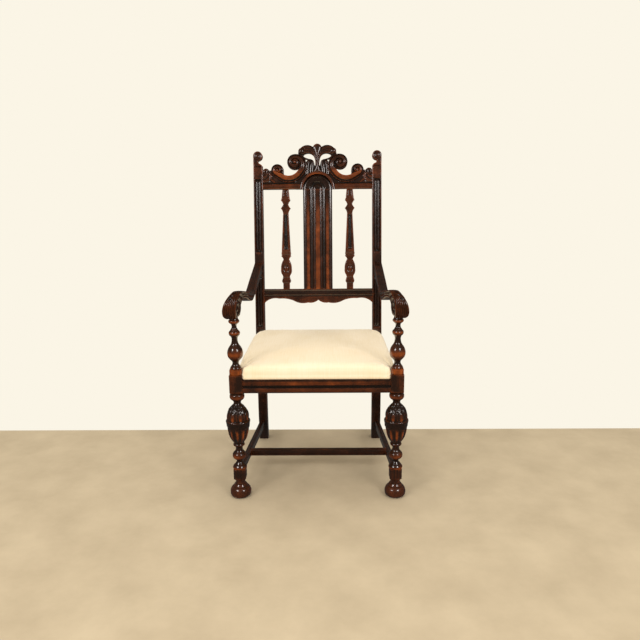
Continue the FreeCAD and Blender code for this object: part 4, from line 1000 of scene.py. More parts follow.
carving = {
    # one C-scroll: the small scroll's coil, the long belly, and the great volute's coil
    "cScroll": turnStops(crest["smallScroll"], [(230, 8.5, 5.5), (180, 13.5, 6.5), (135, 16.0, 7.5),
                                                (90, 17.2, 8.3), (45, 17.0, 8.8), (0, 16.2, 9.6),
                                                (-45, 15.4, 11.0), (-90, 17.5, 12.8)])
    + bandStops(crest["ring"], 60.6, [(d, 14.5) for d in (252, 270, 290, 310, 328)])
    + bandStops(crest["turn"], 34.5, [(-22, 13.2), (8, 12.0), (40, 11.2), (72, 10.6)])
    + turnStops(crest["volute"], [(80, 21.5, 10.2), (45, 21.6, 9.8), (0, 21.4, 9.8), (-45, 20.6, 9.8),
                                  (-90, 19.0, 9.4), (-135, 16.6, 8.6), (-180, 14.0, 7.4),
                                  (-225, 11.8, 6.2), (-270, 10.2, 5.2), (-315, 8.8, 4.4)]),
    "endCurl": turnStops(crest["endLeaf"], [(215, 5, 4), (120, 8, 5), (30, 8.6, 5.4), (-60, 8.6, 6),
                                            (-120, 10, 7)]),
    "eyes": ((*crest["volute"][:2], 7.0), (*crest["smallScroll"][:2], 6.5)),
    "leaf": [(5.0, 694, 3.5), (6.0, 710, 4.6), (9.0, 728, 6.2), (17.5, 746, 10.5), (31, 757.5, 15.0),
             (48, 761, 15.2), (62, 756, 13.0)],
    "bud": [(0, 768, 17.8), (0, 757, 13.5), (0, 745, 8.5), (0, 730, 5.0), (0, 712, 4.0), (0, 696, 6.5),
            (0, 682, 11.5), (0, 670, 18.0)],
    "husks": [[(25, 664, 8), (24, 684, 9.2), (21, 702, 8.5), (17, 714, 5.5)],
              [(43, 664, 8), (42.5, 684, 8.5), (40, 702, 9.0), (37, 712, 7.0)]],
    "cornerLeaves": [[(222, 634, 5), (205, 640, 7), (192, 654, 7), (200, 668, 5)],
                     [(222, 650, 6), (212, 655, 6), (208, 664, 5)],
                     [(176, 630, 3), (186, 638, 5.5), (196, 644, 4)]],
}


def crestHeight(a, b):
    # height of the carving above its ground, and how worn it is
    a = np.abs(a)
    height = np.zeros(a.shape)
    worn = np.full(a.shape, -0.06)

    def lay(field, shape, wornness, soft):
        nonlocal height, worn
        cover = 1 - easing(field, -soft, 0)
        height = height * (1 - cover) + np.maximum(shape, 0) * cover
        worn = worn * (1 - cover) + wornness * cover

    def layStroke(stops, low, rise, wornness, soft, vein=0.0):
        near, side, field = strokeField(a, b, stops)
        lay(field, low + rise * dome(near) - vein * bell(side, 0.22), wornness, soft)

    middle, half, rise = crest["bead"]
    bead = dome((b - middle) / half) * rise
    lay(boxField(a, b, *crest["beadBox"]), bead, 0.08 + 0.09 * bell(a - 130, 45), 0.8)
    # leaves in the corner by the post, and the small curl above them
    lay(boxField(a, b, *crest["cornerBox"]), 1.8, 0.0, 1.5)
    for stops in carving["cornerLeaves"]:
        layStroke(stops, 1.8, 3.2, 0.10, 2.0, vein=0.7)
    near, _, _ = strokeField(a, b, carving["endCurl"])
    lay(discField(a, b, crest["endLeaf"]), 1.8 + 5.4 * dome(np.minimum(near, 1)), -0.02, 1.0)
    # ground of the husk and the leaves, under the strokes
    ground = np.maximum(np.maximum(discField(a, b, crest["huskGround"]), 660 - b), a - 50)
    lay(ground, 1.0, -0.22, 1.5)
    lay(np.maximum(discField(a, b, crest["leaf"]), 722 - b), 2.0, -0.10, 1.5)
    for stops in carving["husks"]:
        layStroke(stops, 1.2, 5.0, -0.10, 0.8)
    near, side, field = strokeField(a, b, carving["leaf"])
    veins = bell(side - 0.30, 0.10) + 0.8 * bell(side + 0.28, 0.10)
    lay(field, 3.0 + 5.6 * dome(near) - 1.3 * veins, 0.0, 0.9)
    lay(discField(a, b, crest["curl"]), 2.2 + 7.6 * dome(np.hypot(a - 65.0, b - 755.5) / 12.4), -0.02, 1.2)
    layStroke(carving["bud"], 2.6, 6.6, 0.0, 0.9)
    # C-scroll: a full belly, a hollow, and a narrow fillet along its outer edge
    near, side, field = strokeField(a, b, carving["cScroll"])
    middle, reach, end, rise = crest["belly"]
    start, full, filletRise = crest["fillet"]
    belly = rise * dome((side - middle) / reach) * (side < end)
    lay(field, 2.2 + belly + filletRise * easing(side, start, full), 0.0, 0.9)
    onBelly = np.where((field < 0) & (side < 0.25), crest["red"], 0.02) * (field < 0)
    away = np.hypot(a - crest["ring"][0], b - crest["ring"][1])
    worn = worn + onBelly * easing(away, 40, 48) * (1 - easing(b, 668, 692))
    for x, up, radius in carving["eyes"]:
        out = np.hypot(a - x, b - up) / radius
        lay(discField(a, b, (x, up, radius)), 2.8 + 5.4 * dome(out), 0.12, 0.8)
    # hood over the splat's head
    away = np.hypot(a, b - chair["crestBottom"])
    inner, middle, outer = crest["hood"]
    hood = 5.0 + 3.0 * dome((away - middle) / 6.4)
    lay(np.maximum(away - outer, inner - away), hood, 0.02 + 0.16 * easing(b, 645, 670), 1.0)
    return height, worn


def crestFront(a, b):
    height, _ = crestHeight(a, b)
    field = crestOutline(a, b)
    depth = crest["ground"] - height + easedEdge(field, 2.6, 2.4) * (b > 604)
    away = np.hypot(a, b - chair["crestBottom"])
    return np.where(away < 60, splatDepth(away), depth)


def crestRail():
    box = (-crest["half"] - 2, 602.0, crest["half"] + 2, 787.0)
    shell = carvedBoard(box, crest["step"], crestOutline, crestFront, flatAt(crest["back"]), onRake, rows=5)
    across = shell[0][:, 0]
    depth, up = offRake(shell[0])
    _, worn = crestHeight(across, up)
    away = np.hypot(across, up - chair["crestBottom"])
    red = ((away > 34) & (away < 46.5)) * 0.04
    dark = ((away > 18.5) & (away < 33)) * 0.10 + (away < 60) * 0.10
    woodPiece("carved", "crest_rail", [shell], woodAcross, wearRounds=10, wearReach=1.5,
              handled=(worn + red - dark * 0.7) * (depth < 20) - 0.02)


crestRail()
print("crest carved")


# Balusters
baluster = {
    "offset": 132.5,
    "half": 22.0,
    "front": 8.0,
    "back": 26.0,
    # share of the length, share of the half width, and how far the stretch up to it bows
    "outline": [(0.000, 0.610, 0.0), (0.058, 0.610, 0.0), (0.084, 0.830, 0.10), (0.120, 0.630, 0.0),
                (0.146, 0.795, -0.08), (0.200, 1.000, 0.10), (0.298, 0.535, 0.08), (0.328, 0.905, -0.12),
                (0.347, 0.830, 0.0), (0.374, 0.830, 0.12), (0.387, 0.830, 0.0), (0.761, 0.500, 0.0),
                (0.811, 0.920, -0.08), (0.850, 0.465, -0.06), (0.890, 0.890, -0.08), (0.912, 0.740, 0.0),
                (1.000, 0.575, 0.0)],
    # heights as shares of the length
    "channel": (0.40, 0.745),
    "channelSpan": ((0.395, 0.415), (0.735, 0.755)),
    "channelHalf": (8.4, 4.8),          # at its foot and at its head
    "channelDepth": 4.2,
    "boss": (0.205, 8.5, 13.0, 3.0),    # height, half width, half height and relief
    "lines": (0.347, 0.362, 0.374, 0.118, 0.06),
    "topPanel": ((0.925, 0.94), (0.985, 0.995)),
}


def bowedLine(stops, steps=7):
    # points along stretches that bow to their left by a share of their length
    out = [stops[0][:2]]
    for (ax, ay, _), (bx, by, bow) in zip(stops, stops[1:]):
        if not bow:
            out.append((bx, by))
            continue
        for k in range(1, steps + 1):
            t = k / steps
            off = 4 * bow * t * (1 - t)
            out.append((ax + (bx - ax) * t + (by - ay) * off, ay + (by - ay) * t - (bx - ax) * off))
    return np.array(out)


def balusterPiece(side):
    low, high = chair["backRailTop"], chair["crestBottom"]
    length = high - low
    right = bowedLine([(share * baluster["half"], low + up * length, bow)
                       for up, share, bow in baluster["outline"]])
    left = right[::-1] * np.array([-1, 1])
    outline = np.concatenate([right, left])

    def at(share):
        return low + share * length

    def spanAt(spans):
        return [[at(share) for share in span] for span in spans]

    bottom, head = [at(share) for share in baluster["channel"]]
    channelSpan, panelSpan = spanAt(baluster["channelSpan"]), spanAt(baluster["topPanel"])
    wideFoot, wideHead = baluster["channelHalf"]
    bossUp, bossWide, bossTall, bossRise = baluster["boss"]

    def front(a, b):
        t = np.clip((b - bottom) / (head - bottom), 0, 1)
        wide = wideFoot - (wideFoot - wideHead) * t
        channel = between(b, *channelSpan) * baluster["channelDepth"] * dome(a / wide) ** 0.8
        egg = (a / bossWide) ** 2 + ((b - at(bossUp)) / bossTall) ** 2
        boss = bossRise * np.sqrt(np.clip(1 - egg, 0, 1))
        moat = 1.4 * bell(np.sqrt(egg) - 1.12, 0.14)
        lines = 1.2 * bells(b, [(at(share), 1.3) for share in baluster["lines"]])
        top = 1.8 * between(b, *panelSpan) * (1 - easing(np.abs(a), 5.0, 8.0))
        edge = easedEdge(insideOutline(outline, a, b), 2.4, 1.8)
        return baluster["front"] + edge + channel - boss + moat + lines + top
    shell = carvedBoard((-24, low - 1, 24, high + 1), 1.05, fieldOf(outline), front, flatAt(baluster["back"]),
                        lambda a, d, b: onRake(a + baluster["offset"], d, b), rows=4)
    if side < 0:
        shell = mirroredShell(shell)
    across = np.abs(np.abs(shell[0][:, 0]) - baluster["offset"])
    _, up = offRake(shell[0])
    inChannel = (across < 7) & (up > bottom) & (up < at(0.75))
    woodPiece("carved", sided("spindle", side), [shell], woodUp, wearReach=1.2,
              handled=0.09 - 0.30 * inChannel)


for side in (1, -1):
    balusterPiece(side)
print("balusters carved")


# Lower rail of the back
backRail = {
    "half": 226.0,
    "deepest": 59.0,
    "front": 5.0,
    "back": 28.0,
    "fillet": 23.0,             # down from the top, as the worn stretch below it
    "paleDown": (27, 34),
    "edge": [(1.00, 1.00, 0.0), (0.72, 0.68, -0.14), (0.46, 0.82, -0.06), (0.19, 0.97, 0.10),
             (0.00, 0.78, 0.12)],
}


def lowerBackRail():
    top = chair["backRailTop"]
    lower = bowedLine([(share * backRail["half"], top - drop * backRail["deepest"], -bow)
                       for share, drop, bow in backRail["edge"]], 12)
    outline = np.concatenate([lower, lower[-2::-1] * np.array([-1, 1]),
                              [(-backRail["half"], top), (backRail["half"], top)]])

    def front(a, b):
        down = top - b
        fillet = 3.0 * bell(down - backRail["fillet"], 1.6)
        hollow = 2.0 * np.sin(np.clip((down - 3) / 17, 0, 1) * math.pi)
        edge = easedEdge(insideOutline(outline, a, b), 2.2, 1.8) * (np.abs(a) < backRail["half"] - 4)
        return backRail["front"] + edge - fillet + hollow
    box = (-backRail["half"] - 1, top - backRail["deepest"] - 3, backRail["half"] + 1, top + 1)
    shell = carvedBoard(box, 1.4, fieldOf(outline), front, flatAt(backRail["back"]), onRake, rows=5)
    _, up = offRake(shell[0])
    woodPiece("shaped", "lower_back_rail", [shell], woodAcross, wearReach=1.3,
              handled=0.14 * easing(top - up, *backRail["paleDown"]) - 0.06)


lowerBackRail()


# Arms: a shaped side view whose two faces are carved and whose top is reeded
arm = {
    "centre": (-4.0, 712.0),    # of the scroll, from the leg's axis
    "radius": 48.0,
    "top": [(529.5, 773.8), (480, 765.5), (400, 752.4), (300, 736.0), (250, 726.5), (200, 719.5),
            (165, 722.0), (130, 729.5), (95, 738.0), (60, 746.5), (25, 755.5)],
    "landing": [(-25.0, 668.6), (-20.0, 668.0)],
    "under": [(13.5, 668.0), (20.5, 679.0), (23.5, 696.0), (25.5, 714.0), (29.0, 725.0), (37, 729.0),
              (49, 726.0), (62, 719.5), (80, 712.0), (110, 702.0), (150, 695.0), (168, 694.5),
              (200, 697.5), (300, 708.0), (420, 722.6), (523.4, 735.5)],
    # both faces' distances from the chair's middle: of the scroll by height, of the rail by place
    "scroll": {"at": [667, 671, 677, 686, 698, 712, 726, 738, 748, 756, 764],
               "Outer": [301, 306.5, 310.4, 312.4, 312.6, 310.4, 305.6, 299, 291.5, 283, 271],
               "Inner": [271, 268.6, 267, 266.3, 265.9, 265, 263.2, 260.6, 256.8, 251.4, 243]},
    "rail": {"at": [-30, 0, 25, 60, 130, 200, 300, 540],
             "Outer": [277, 273, 269.4, 266.2, 263.6, 263, 263, 263],
             "Inner": [249, 244.4, 240, 236, 232.2, 231, 231, 231]},
    "reeds": 6,
    "nicks": (111, 128, 143),   # degrees round the scroll, of the short cuts across its top
    "eye": (-9.0, 699.0, 8.0),
    "coil": 17.0,               # between the turns of the scroll
    "scrollCut": (44, 6, 2.4),          # reach, softness and depth of its groove
    "sideLine": (7.5, 1.8, 1.6),        # from the edge, half width and depth
    "nick": (2.4, 2.9),                 # half width in degrees, and depth
    "nickSpan": (0.14, 0.42),           # from the outer face, as a share of the width
    "reedDepth": 1.1,
    "camber": 1.2,
}


def armOutline():
    cy, cz = arm["centre"]
    turns = [math.radians(t) for t in np.arange(72, 246, 5)]
    scroll = [(cy + arm["radius"] * math.cos(t), cz + arm["radius"] * math.sin(t)) for t in turns]
    return np.concatenate([smoothLine(arm["top"], 6.0), scroll, arm["landing"],
                           smoothLine(arm["under"], 4.0)])


def armPiece(side):
    outline = armOutline()
    cy, cz = arm["centre"]
    widths = {(part, key): smoothLine(list(zip(arm[part]["at"], arm[part][key])), 1.5)
              for part in ("scroll", "rail") for key in ("Outer", "Inner")}

    def edges(y, z, key):
        low = np.interp(z, *widths["scroll", key].T)
        rear = np.interp(y, *widths["rail", key].T)
        t = easing(y, -6, 62)
        return low * (1 - t) + rear * t

    def sideCarving(y, z):
        field = insideOutline(outline, y, z)
        away = np.hypot(y - arm["eye"][0], z - arm["eye"][1])
        turn = np.arctan2(z - arm["eye"][1], y - arm["eye"][0])
        coil = np.abs(np.sin(math.pi * ((away / arm["coil"] + turn / (2 * math.pi)) % 1.0))) ** 0.7
        reach, soft, deep = arm["scrollCut"]
        inScroll = easing(reach - np.hypot(y - cy, z - cz), 0, soft)
        inward, wide, lineDeep = arm["sideLine"]
        groove = (1 - coil) * deep * inScroll + bell(field + inward, wide) * lineDeep * (1 - inScroll)
        return groove, easedEdge(field, 2.8, 2.2), away

    def outerFace(y, z):
        groove, eased, _ = sideCarving(y, z)
        return edges(y, z, "Outer") - groove * 0.8 - eased

    def innerFace(y, z):
        groove, eased, away = sideCarving(y, z)
        eye = 3.5 * dome(away / arm["eye"][2])
        return edges(y, z, "Inner") + groove + eased - eye

    def nicksAt(y, z, wide):
        return bells(np.degrees(np.arctan2(z - cz, y - cy)), [(at, wide) for at in arm["nicks"]])

    def lift(t, y, z, away):
        reed = np.abs(math.sin(arm["reeds"] * math.pi * t)) ** 0.6
        onTop = easing(away[:, 1] - away[:, 0] * 0.9, -0.1, 0.4)
        wide, deep = arm["nick"]
        first, last = arm["nickSpan"]
        nicks = nicksAt(y, z, wide) * (y < 20) * (first < t < last)
        camber = arm["camber"] * (1 - (2 * t - 1) ** 2)
        return onTop * (arm["reedDepth"] * (reed - 1) * (1 - nicks) + camber - deep * nicks)

    def place(y, x, z):
        return np.stack(np.broadcast_arrays(side * x, y + chair["legY"], z), axis=-1)
    shell = carvedBoard((-58, 664, 533, 778), 1.5, fieldOf(outline), outerFace, innerFace, place, rows=36,
                        lift=lift)
    x, y, z = shell[0].T
    y = y - chair["legY"]
    nose = bell(np.hypot(y - cy, z - cz) - 46, 6) * easing(-y, -30, 10)
    share = (edges(y, z, "Outer") - side * x) / (edges(y, z, "Outer") - edges(y, z, "Inner"))
    first, last = arm["nickSpan"]
    nicks = nicksAt(y, z, 3.0) * (nose > 0.2) * (share > first) * (share < last)
    woodPiece("scrolled", sided("arm", side), [shell], woodArm, wearReach=1.4,
              handled=0.05 * nose - 0.03 - 0.4 * nicks)


for side in (1, -1):
    armPiece(side)
print("arms carved")


# Seat rails
rails = {
    "thickness": 22.0,
    "frontSetback": 5.0,
    "legBlock": 46.0,
    "sideInset": 7.0,
    "rearSetback": 4.0,
    # heights above the rail's lower edge, and depths
    "frontFace": [(0, 2.4), (1.4, 0.6), (5, -0.7), (11, -1.2), (17, -0.5), (19.6, 0.9, 1), (20.6, 3.0, 1),
                  (25.4, 3.6, 1), (27.4, 1.2, 1), (29.5, 0.3), (35, 0.0), (43, 0.0), (47, 0.5),
                  (49.8, 1.6), (51, 3.0, 1)],
}


def acrossChair(y=0.0, z=0.0):
    # places a section of depths and heights across the chair
    return lambda section, x: np.column_stack([np.full(len(section), x), y + section[:, 0],
                                               z + section[:, 1]])


def sectionAlong(section, start, end, step, place):
    # a section carried from one place to another in even steps
    count = max(2, int(abs(end - start) / step))
    return loft([place(section, t) for t in np.linspace(start, end, count)])


def frontSeatRail():
    low, high = chair["railBottom"], chair["railTop"]
    front = chair["legY"] - rails["legBlock"] / 2 + rails["frontSetback"]
    line = smoothLine([(low + up, depth, *corner) for up, depth, *corner in rails["frontFace"]], 0.8)
    back = front + rails["thickness"]
    section = np.concatenate([np.column_stack([front + line[:, 1], line[:, 0]]),
                              [(front + 10, high), (back - 1, high), (back, high - 1),
                               (back, (low + high) / 2), (back, low + 1), (back - 1, low),
                               (front + 10, low)]])
    reach = chair["legX"] - rails["legBlock"] / 2 + 0.5
    body = sectionAlong(section, -reach, reach, 5.0, acrossChair())
    x, z = body[0][:, 0], body[0][:, 2] - low
    red = between(z, (27, 31), (40, 46)) + 0.75 * between(z, (2, 7), (16, 19))
    groove = between(z, (18.5, 21), (26, 29))
    middle = 1 - 0.6 * (np.abs(x) / reach) ** 2
    woodPiece("moulded", "front_seat_rail", [body], woodAcross, wearReach=1.2,
              handled=0.25 * red * middle - 0.26 * groove - 0.05)


def barBetween(start, end, width, height, step=6.0, ease=2.0):
    # a bar whose section stays square to Y; start and end are the middles of its lower edge
    outline = roundedOutline(width, height, ease, 3.0)
    rings = []
    count = max(2, int((end[1] - start[1]) / step))
    for t in np.linspace(0, 1, count):
        middle = [s + (e - s) * t for s, e in zip(start, end)]
        rings.append(np.column_stack([middle[0] + outline[:, 0], np.full(len(outline), middle[1]),
                                      middle[2] + height / 2 + outline[:, 1]]))
    return loft(rings)


frontSeatRail()
blockBack = chair["legY"] + rails["legBlock"] / 2
postMiddle = chair["postInner"] + chair["postWidth"] / 2
for side in (1, -1):
    bar = barBetween((side * (chair["legX"] - rails["sideInset"]), blockBack - 0.5, chair["railBottom"]),
                     (side * (postMiddle + rails["sideInset"]), chair["postFront"] + 0.5,
                      chair["railBottom"]), rails["thickness"], chair["railTop"] - chair["railBottom"])
    woodPiece("shaped", sided("side_seat_rail", side), [bar], woodDeep, handled=-0.02)

rearY = chair["postFront"] + rails["rearSetback"] + rails["thickness"] / 2
rearReach = chair["postInner"] + 0.5
outline = roundedOutline(rails["thickness"], chair["railTop"] - chair["railBottom"], 2.0)
rearBar = sectionAlong(outline, -rearReach, rearReach, 6.0,
                       acrossChair(rearY, (chair["railTop"] + chair["railBottom"]) / 2))
woodPiece("shaped", "rear_seat_rail", [rearBar], woodAcross, handled=-0.04)


# Stretchers
stretcher = {
    "width": 22.0,
    "height": 25.0,
    "bottom": 79.5,
    "fall": 12.0,
    "outset": 3.0,
    "crossBack": 165.0,
}


def stretcherSection():
    # eased upper edges with a bead between two grooves along the top and a groove in each face
    half, high = stretcher["width"] / 2, stretcher["height"]
    right = smoothLine([(half - 1.2, 0.0, 1), (half, 1.2, 1), (half, 7.5, 1), (half - 1.8, 8.6),
                        (half - 1.8, 9.6), (half, 10.8, 1), (half, high - 6.5), (half - 0.8, high - 3.6),
                        (half - 3.2, high - 0.9), (half - 5.2, high, 1), (half - 6.2, high - 1.5, 1),
                        (half - 7.0, high - 0.2, 1), (0.4, high)], 0.9)
    left = right[::-1] * np.array([-1, 1])
    return evened(np.concatenate([right, left]), 3.0)


section = stretcherSection()
endY = chair["postFront"] + 2.4
frontY = chair["legY"] + leg["lowerBlock"][0] / 2 - 0.6


def stretcherPlace(y):
    t = (y - chair["legY"]) / (chair["postFront"] - chair["legY"])
    x = chair["legX"] + (postMiddle - chair["legX"]) * t + stretcher["outset"]
    return x, stretcher["bottom"] - stretcher["fall"] * t


for side in (1, -1):
    rings = []
    for y in np.linspace(frontY, endY, 90):
        x, z = stretcherPlace(y)
        rings.append(np.column_stack([side * (x + section[:, 0]), np.full(len(section), y),
                                      z + section[:, 1]]))
    woodPiece("moulded", sided("side_stretcher", side), [loft(rings)], woodDeep, wearReach=1.2, handled=-0.02)

crossMiddle = chair["legY"] + stretcher["crossBack"] + stretcher["width"] / 2
crossX, crossZ = stretcherPlace(crossMiddle)
reach = crossX - stretcher["width"] / 2 + 1.5
crossBar = sectionAlong(section, -reach, reach, 5.0, acrossChair(crossMiddle, crossZ))
woodPiece("moulded", "cross_stretcher", [crossBar], woodAcross, wearReach=1.2, handled=-0.04)
print("rails and stretchers made")


# Cushion: a boxed pad on the loose frame, its cover pressed out by the filling
cushion = {
    "outline": [(0, -307.0), (120, -307.6), (230, -308.6), (250, -308.8), (255.6, -305.5), (257.4, -298, 1),
                (257.4, -271, 1), (260, -266.4), (266, -263.6), (271.5, -258), (275.0, -249), (275.4, -225),
                (274, -180), (271.5, -120), (269, -40), (267, 40), (264, 96), (258, 134), (246, 164),
                (228, 181), (204, 187.2), (120, 187.4), (0, 186.4)],
    "railTop": 450.3,
    "edge": 484.0,              # where the side turns over into the top
    "edgeRound": 13.0,
    "shoulder": 496.0,
    "backRise": 4.0,
    "riseSpan": (-290, -120),
    "crown": 11.0,
    "crownMiddle": -60.0,
    "crownReach": (272.0, 250.0),
    "crownPower": 2.6,
    "bulge": 2.6,
    "grid": 4.0,
    "pressure": 4.0,
    "stretch": 20.0,
    "bending": 2.0,
    "clothSteps": 20,
    "mostMove": 3.0,
    "foldCorner": 260.0,        # from the middle, where the folds at a leg's back corner meet
    "folds": 9,
    "foldReach": 46.0,
    "foldDepth": 1.6,
    "dip": (3.0, 6.0, 18.0),    # of the whole corner, and of the place next to the leg and its reach
    "hollow": [(0, -301.0), (247.9, -301.0), (247.9, -256.7), (253.4, -256.7), (249.8, 178.5), (0, 178.5)],
    "hollowTop": 471.0,
}


def wholeOutline(right):
    # both halves of an outline given from the front to the back of its right half
    right = np.asarray(right, float)
    return np.concatenate([right, (right * [-1, 1])[-2:0:-1]])


def padTop(x, y, outline):
    # level edges that turn over into a low crown
    inner = np.clip(-insideOutline(outline, x, y) / cushion["edgeRound"], 0, 1)
    turned = (cushion["shoulder"] - cushion["edge"]) * (1 - dome(1 - inner))
    wide, deep = cushion["crownReach"]
    across = np.clip(np.abs(x) / wide, 0, 1) ** cushion["crownPower"]
    along = np.clip(np.abs(y - cushion["crownMiddle"]) / deep, 0, 1) ** cushion["crownPower"]
    edge = cushion["shoulder"] + cushion["backRise"] * easing(y, *cushion["riseSpan"])
    return edge - turned + cushion["crown"] * (1 - across) * (1 - along)


def softPad():
    outline = wholeOutline(smoothLine(cushion["outline"], 4.0))
    low, high = outline.min(axis=0) - cushion["grid"], outline.max(axis=0) + cushion["grid"]
    shell = carvedBoard((*low, *high), cushion["grid"], fieldOf(outline),
                        lambda a, b: padTop(a, b, outline), flatAt(cushion["railTop"]),
                        lambda a, depth, b: np.stack([a, b, depth], axis=-1), rows=9,
                        lift=lambda t, a, b, away: cushion["bulge"] * math.sin(math.pi * t) ** 0.7)
    piece = newPiece("silk_seat_cushion", [shell], silk, "silk_cover", ["seat_pad"], 180.0, wearRounds=0)
    start = vertexPlaces(piece.data)
    swell(piece)
    away = vertexPlaces(piece.data) - start
    far = np.linalg.norm(away, axis=1)[:, None]
    away *= np.minimum(1, cushion["mostMove"] * mm / np.maximum(far, 1e-9))
    seated = easing(start[:, 2] / mm, cushion["railTop"] + 3, cushion["railTop"] + 18)[:, None]
    setPlaces(piece.data, start + away * seated)
    finer = piece.modifiers.new("finer", "SUBSURF")
    finer.levels = finer.render_levels = 1
    applyModifiers(piece)
    return piece


def applyModifiers(piece):
    dg = bpy.context.evaluated_depsgraph_get()
    fresh = bpy.data.meshes.new_from_object(piece.evaluated_get(dg))
    piece.modifiers.clear()
    old = piece.data
    piece.data = fresh
    bpy.data.meshes.remove(old)


def vertexPlaces(mesh):
    out = np.empty(len(mesh.vertices) * 3)
    mesh.vertices.foreach_get("co", out)
    return out.reshape(-1, 3)


def setPlaces(mesh, places):
    mesh.vertices.foreach_set("co", places.ravel())
    mesh.update()


def swell(piece):
    # the filling presses the cover out while its lower edge stays tacked to the frame
    pinned = piece.vertex_groups.new(name="tacked")
    heights = vertexPlaces(piece.data)[:, 2] / mm
    for index in np.nonzero(heights < cushion["railTop"] + 5)[0]:
        pinned.add([int(index)], 1.0, "REPLACE")
    cover = piece.modifiers.new("cover", "CLOTH").settings
    cover.use_pressure = True
    cover.uniform_pressure_force = cushion["pressure"]
    cover.effector_weights.gravity = 0
    cover.vertex_group_mass = "tacked"
    cover.quality = 5
    cover.tension_stiffness = cover.compression_stiffness = cushion["stretch"]
    cover.bending_stiffness = cushion["bending"]
    for step in range(1, cushion["clothSteps"] + 1):
        bpy.context.scene.frame_set(step)
    applyModifiers(piece)
    bpy.context.scene.frame_set(1)


def creasePad(piece):
    # the cover dips and folds round the legs, and the pad lies flat on the rails
    places = vertexPlaces(piece.data) / mm
    x, y, z = places[:, 0], places[:, 1], places[:, 2]
    aside, behind = np.abs(x) - cushion["foldCorner"], y - blockBack
    away = np.hypot(aside, behind)
    folds = np.cos(np.arctan2(behind, -aside) * cushion["folds"] + 0.4) * easing(away, 2, 14)
    dip, deepest, reach = cushion["dip"]
    z += bell(away, cushion["foldReach"]) * easing(z, 462, 486) * (cushion["foldDepth"] * folds - dip)
    z -= bell(away, reach) * easing(z, 470, 500) * deepest
    z[z < cushion["railTop"] + 0.3] = cushion["railTop"]
    setPlaces(piece.data, places * mm)


def hollowPad(piece):
    # room for the frame and its webbing
    outline = evened(wholeOutline(cushion["hollow"]), 40.0)
    points, faces = loft([np.column_stack([outline, np.full(len(outline), z)])
                          for z in (cushion["railTop"] - 10, cushion["hollowTop"])])
    mesh = bpy.data.meshes.new("hollow")
    mesh.from_pydata((points * mm).tolist(), [], faces)
    cutter = bpy.data.objects.new("hollow", mesh)
    bpy.context.scene.collection.objects.link(cutter)
    cut = piece.modifiers.new("hollow", "BOOLEAN")
    cut.operation = "DIFFERENCE"
    cut.object = cutter
    cut.solver = "EXACT"
    applyModifiers(piece)
    bpy.data.objects.remove(cutter)
    bpy.data.meshes.remove(mesh)


pad = softPad()
creasePad(pad)
hollowPad(pad)
pad.data.shade_smooth()
pad.data.set_sharp_from_angle(angle=math.radians(50))
print("cushion made")


# Webbing under the cushion: straps woven over and under each other
webbing = {
    "width": 50.0,
    "thickness": 1.2,
    "level": 468.9,             # of the straps' middles on the frame
    "wave": 0.75,
    "long": [-199.4, -99.7, 0.0, 99.7, 199.4],
    "cross": [-191.6, -87.7, 16.3, 120.2],
    "longEnds": (-295.6, 173.1),
    "crossEnds": (-244.0, 244.0),
}


def strap(middle, crossed, ends, phase, place):
    # one strap whose height swings from over to under at the straps that it crosses
    half, thick = webbing["width"] / 2, webbing["thickness"] / 2
    flat = half - 0.4
    ring = [(-flat, -thick), (flat, -thick), (half, 0), (flat, thick), (-flat, thick), (-half, 0)]
    rings = []
    stops = np.array([ends[0], *crossed, ends[1]], float)
    swing = np.array([0.0, *[(-1.0) ** (k + phase) for k in range(len(crossed))], 0.0])
    for along in np.linspace(ends[0], ends[1], 120):
        k = min(int(np.searchsorted(stops, along, side="right")) - 1, len(stops) - 2)
        t = easing(along, stops[k], stops[k + 1])
        z = webbing["level"] + webbing["wave"] * (swing[k] * (1 - t) + swing[k + 1] * t)
        rings.append([place(middle + across, along, z + up) for across, up in ring])
    return loft(rings)


straps = [strap(x, webbing["cross"], webbing["longEnds"], n, lambda a, b, z: (a, b, z))
          for n, x in enumerate(webbing["long"])]
straps += [strap(y, webbing["long"], webbing["crossEnds"], n + 1, lambda a, b, z: (b, a, z))
           for n, y in enumerate(webbing["cross"])]
newPiece("woven_seat_webbing", straps, jute, "jute_webbing", ["seat_webbing"], wearRounds=0)


# Hidden parts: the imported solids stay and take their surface
for name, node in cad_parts.items():
    if name.startswith("seat_frame") or name in ("corner_blocks", "seat_pegs", "arm_dowels"):
        if not node.material_slots:
            node.data.materials.append(beech)
        for place in node.material_slots:
            place.material = beech


# Floor, light and camera
studio = {
    "floorDark": "#B9A98D",
    "floorPale": "#C9B99C",
    "floorPatch": 180.0,        # mm
    "floorRoughness": 0.8,
    "floorReach": 6.0,
    "floorBack": 0.30,          # metres behind the chair's middle, where the bare concrete ends
    "wall": "#FBF5E6",
    "fill": "#FFF8EA",
    "worldGlow": 0.84,
    "mirroredGlow": 0.085,      # of the same room in the varnish
    "lampColour": (1.0, 0.955, 0.93),
    "aim": (0, 0, 0.55),
    # degrees to the right, height, distance, size in metres, power, mirrored in the varnish
    "lamps": {"key_0": (-39.0, 2.15, 3.1, 0.90, 27.0, True), "key_1": (36.0, 2.15, 3.1, 0.90, 27.0, True),
              "soft_front": (0.0, 2.3, 2.8, 2.6, 14.0, False), "soft_top": (0.0, 3.2, 0.2, 2.6, 16.0, False)},
    "sensor": 36.0,
    "lens": 37.125,
    "cameraPlace": (0.04996, -2.1879, 1.2049),      # its depth is from the legs' axes
    "cameraTurns": (-0.936, 14.04, -0.584),         # to the right, down and about its own axis
}


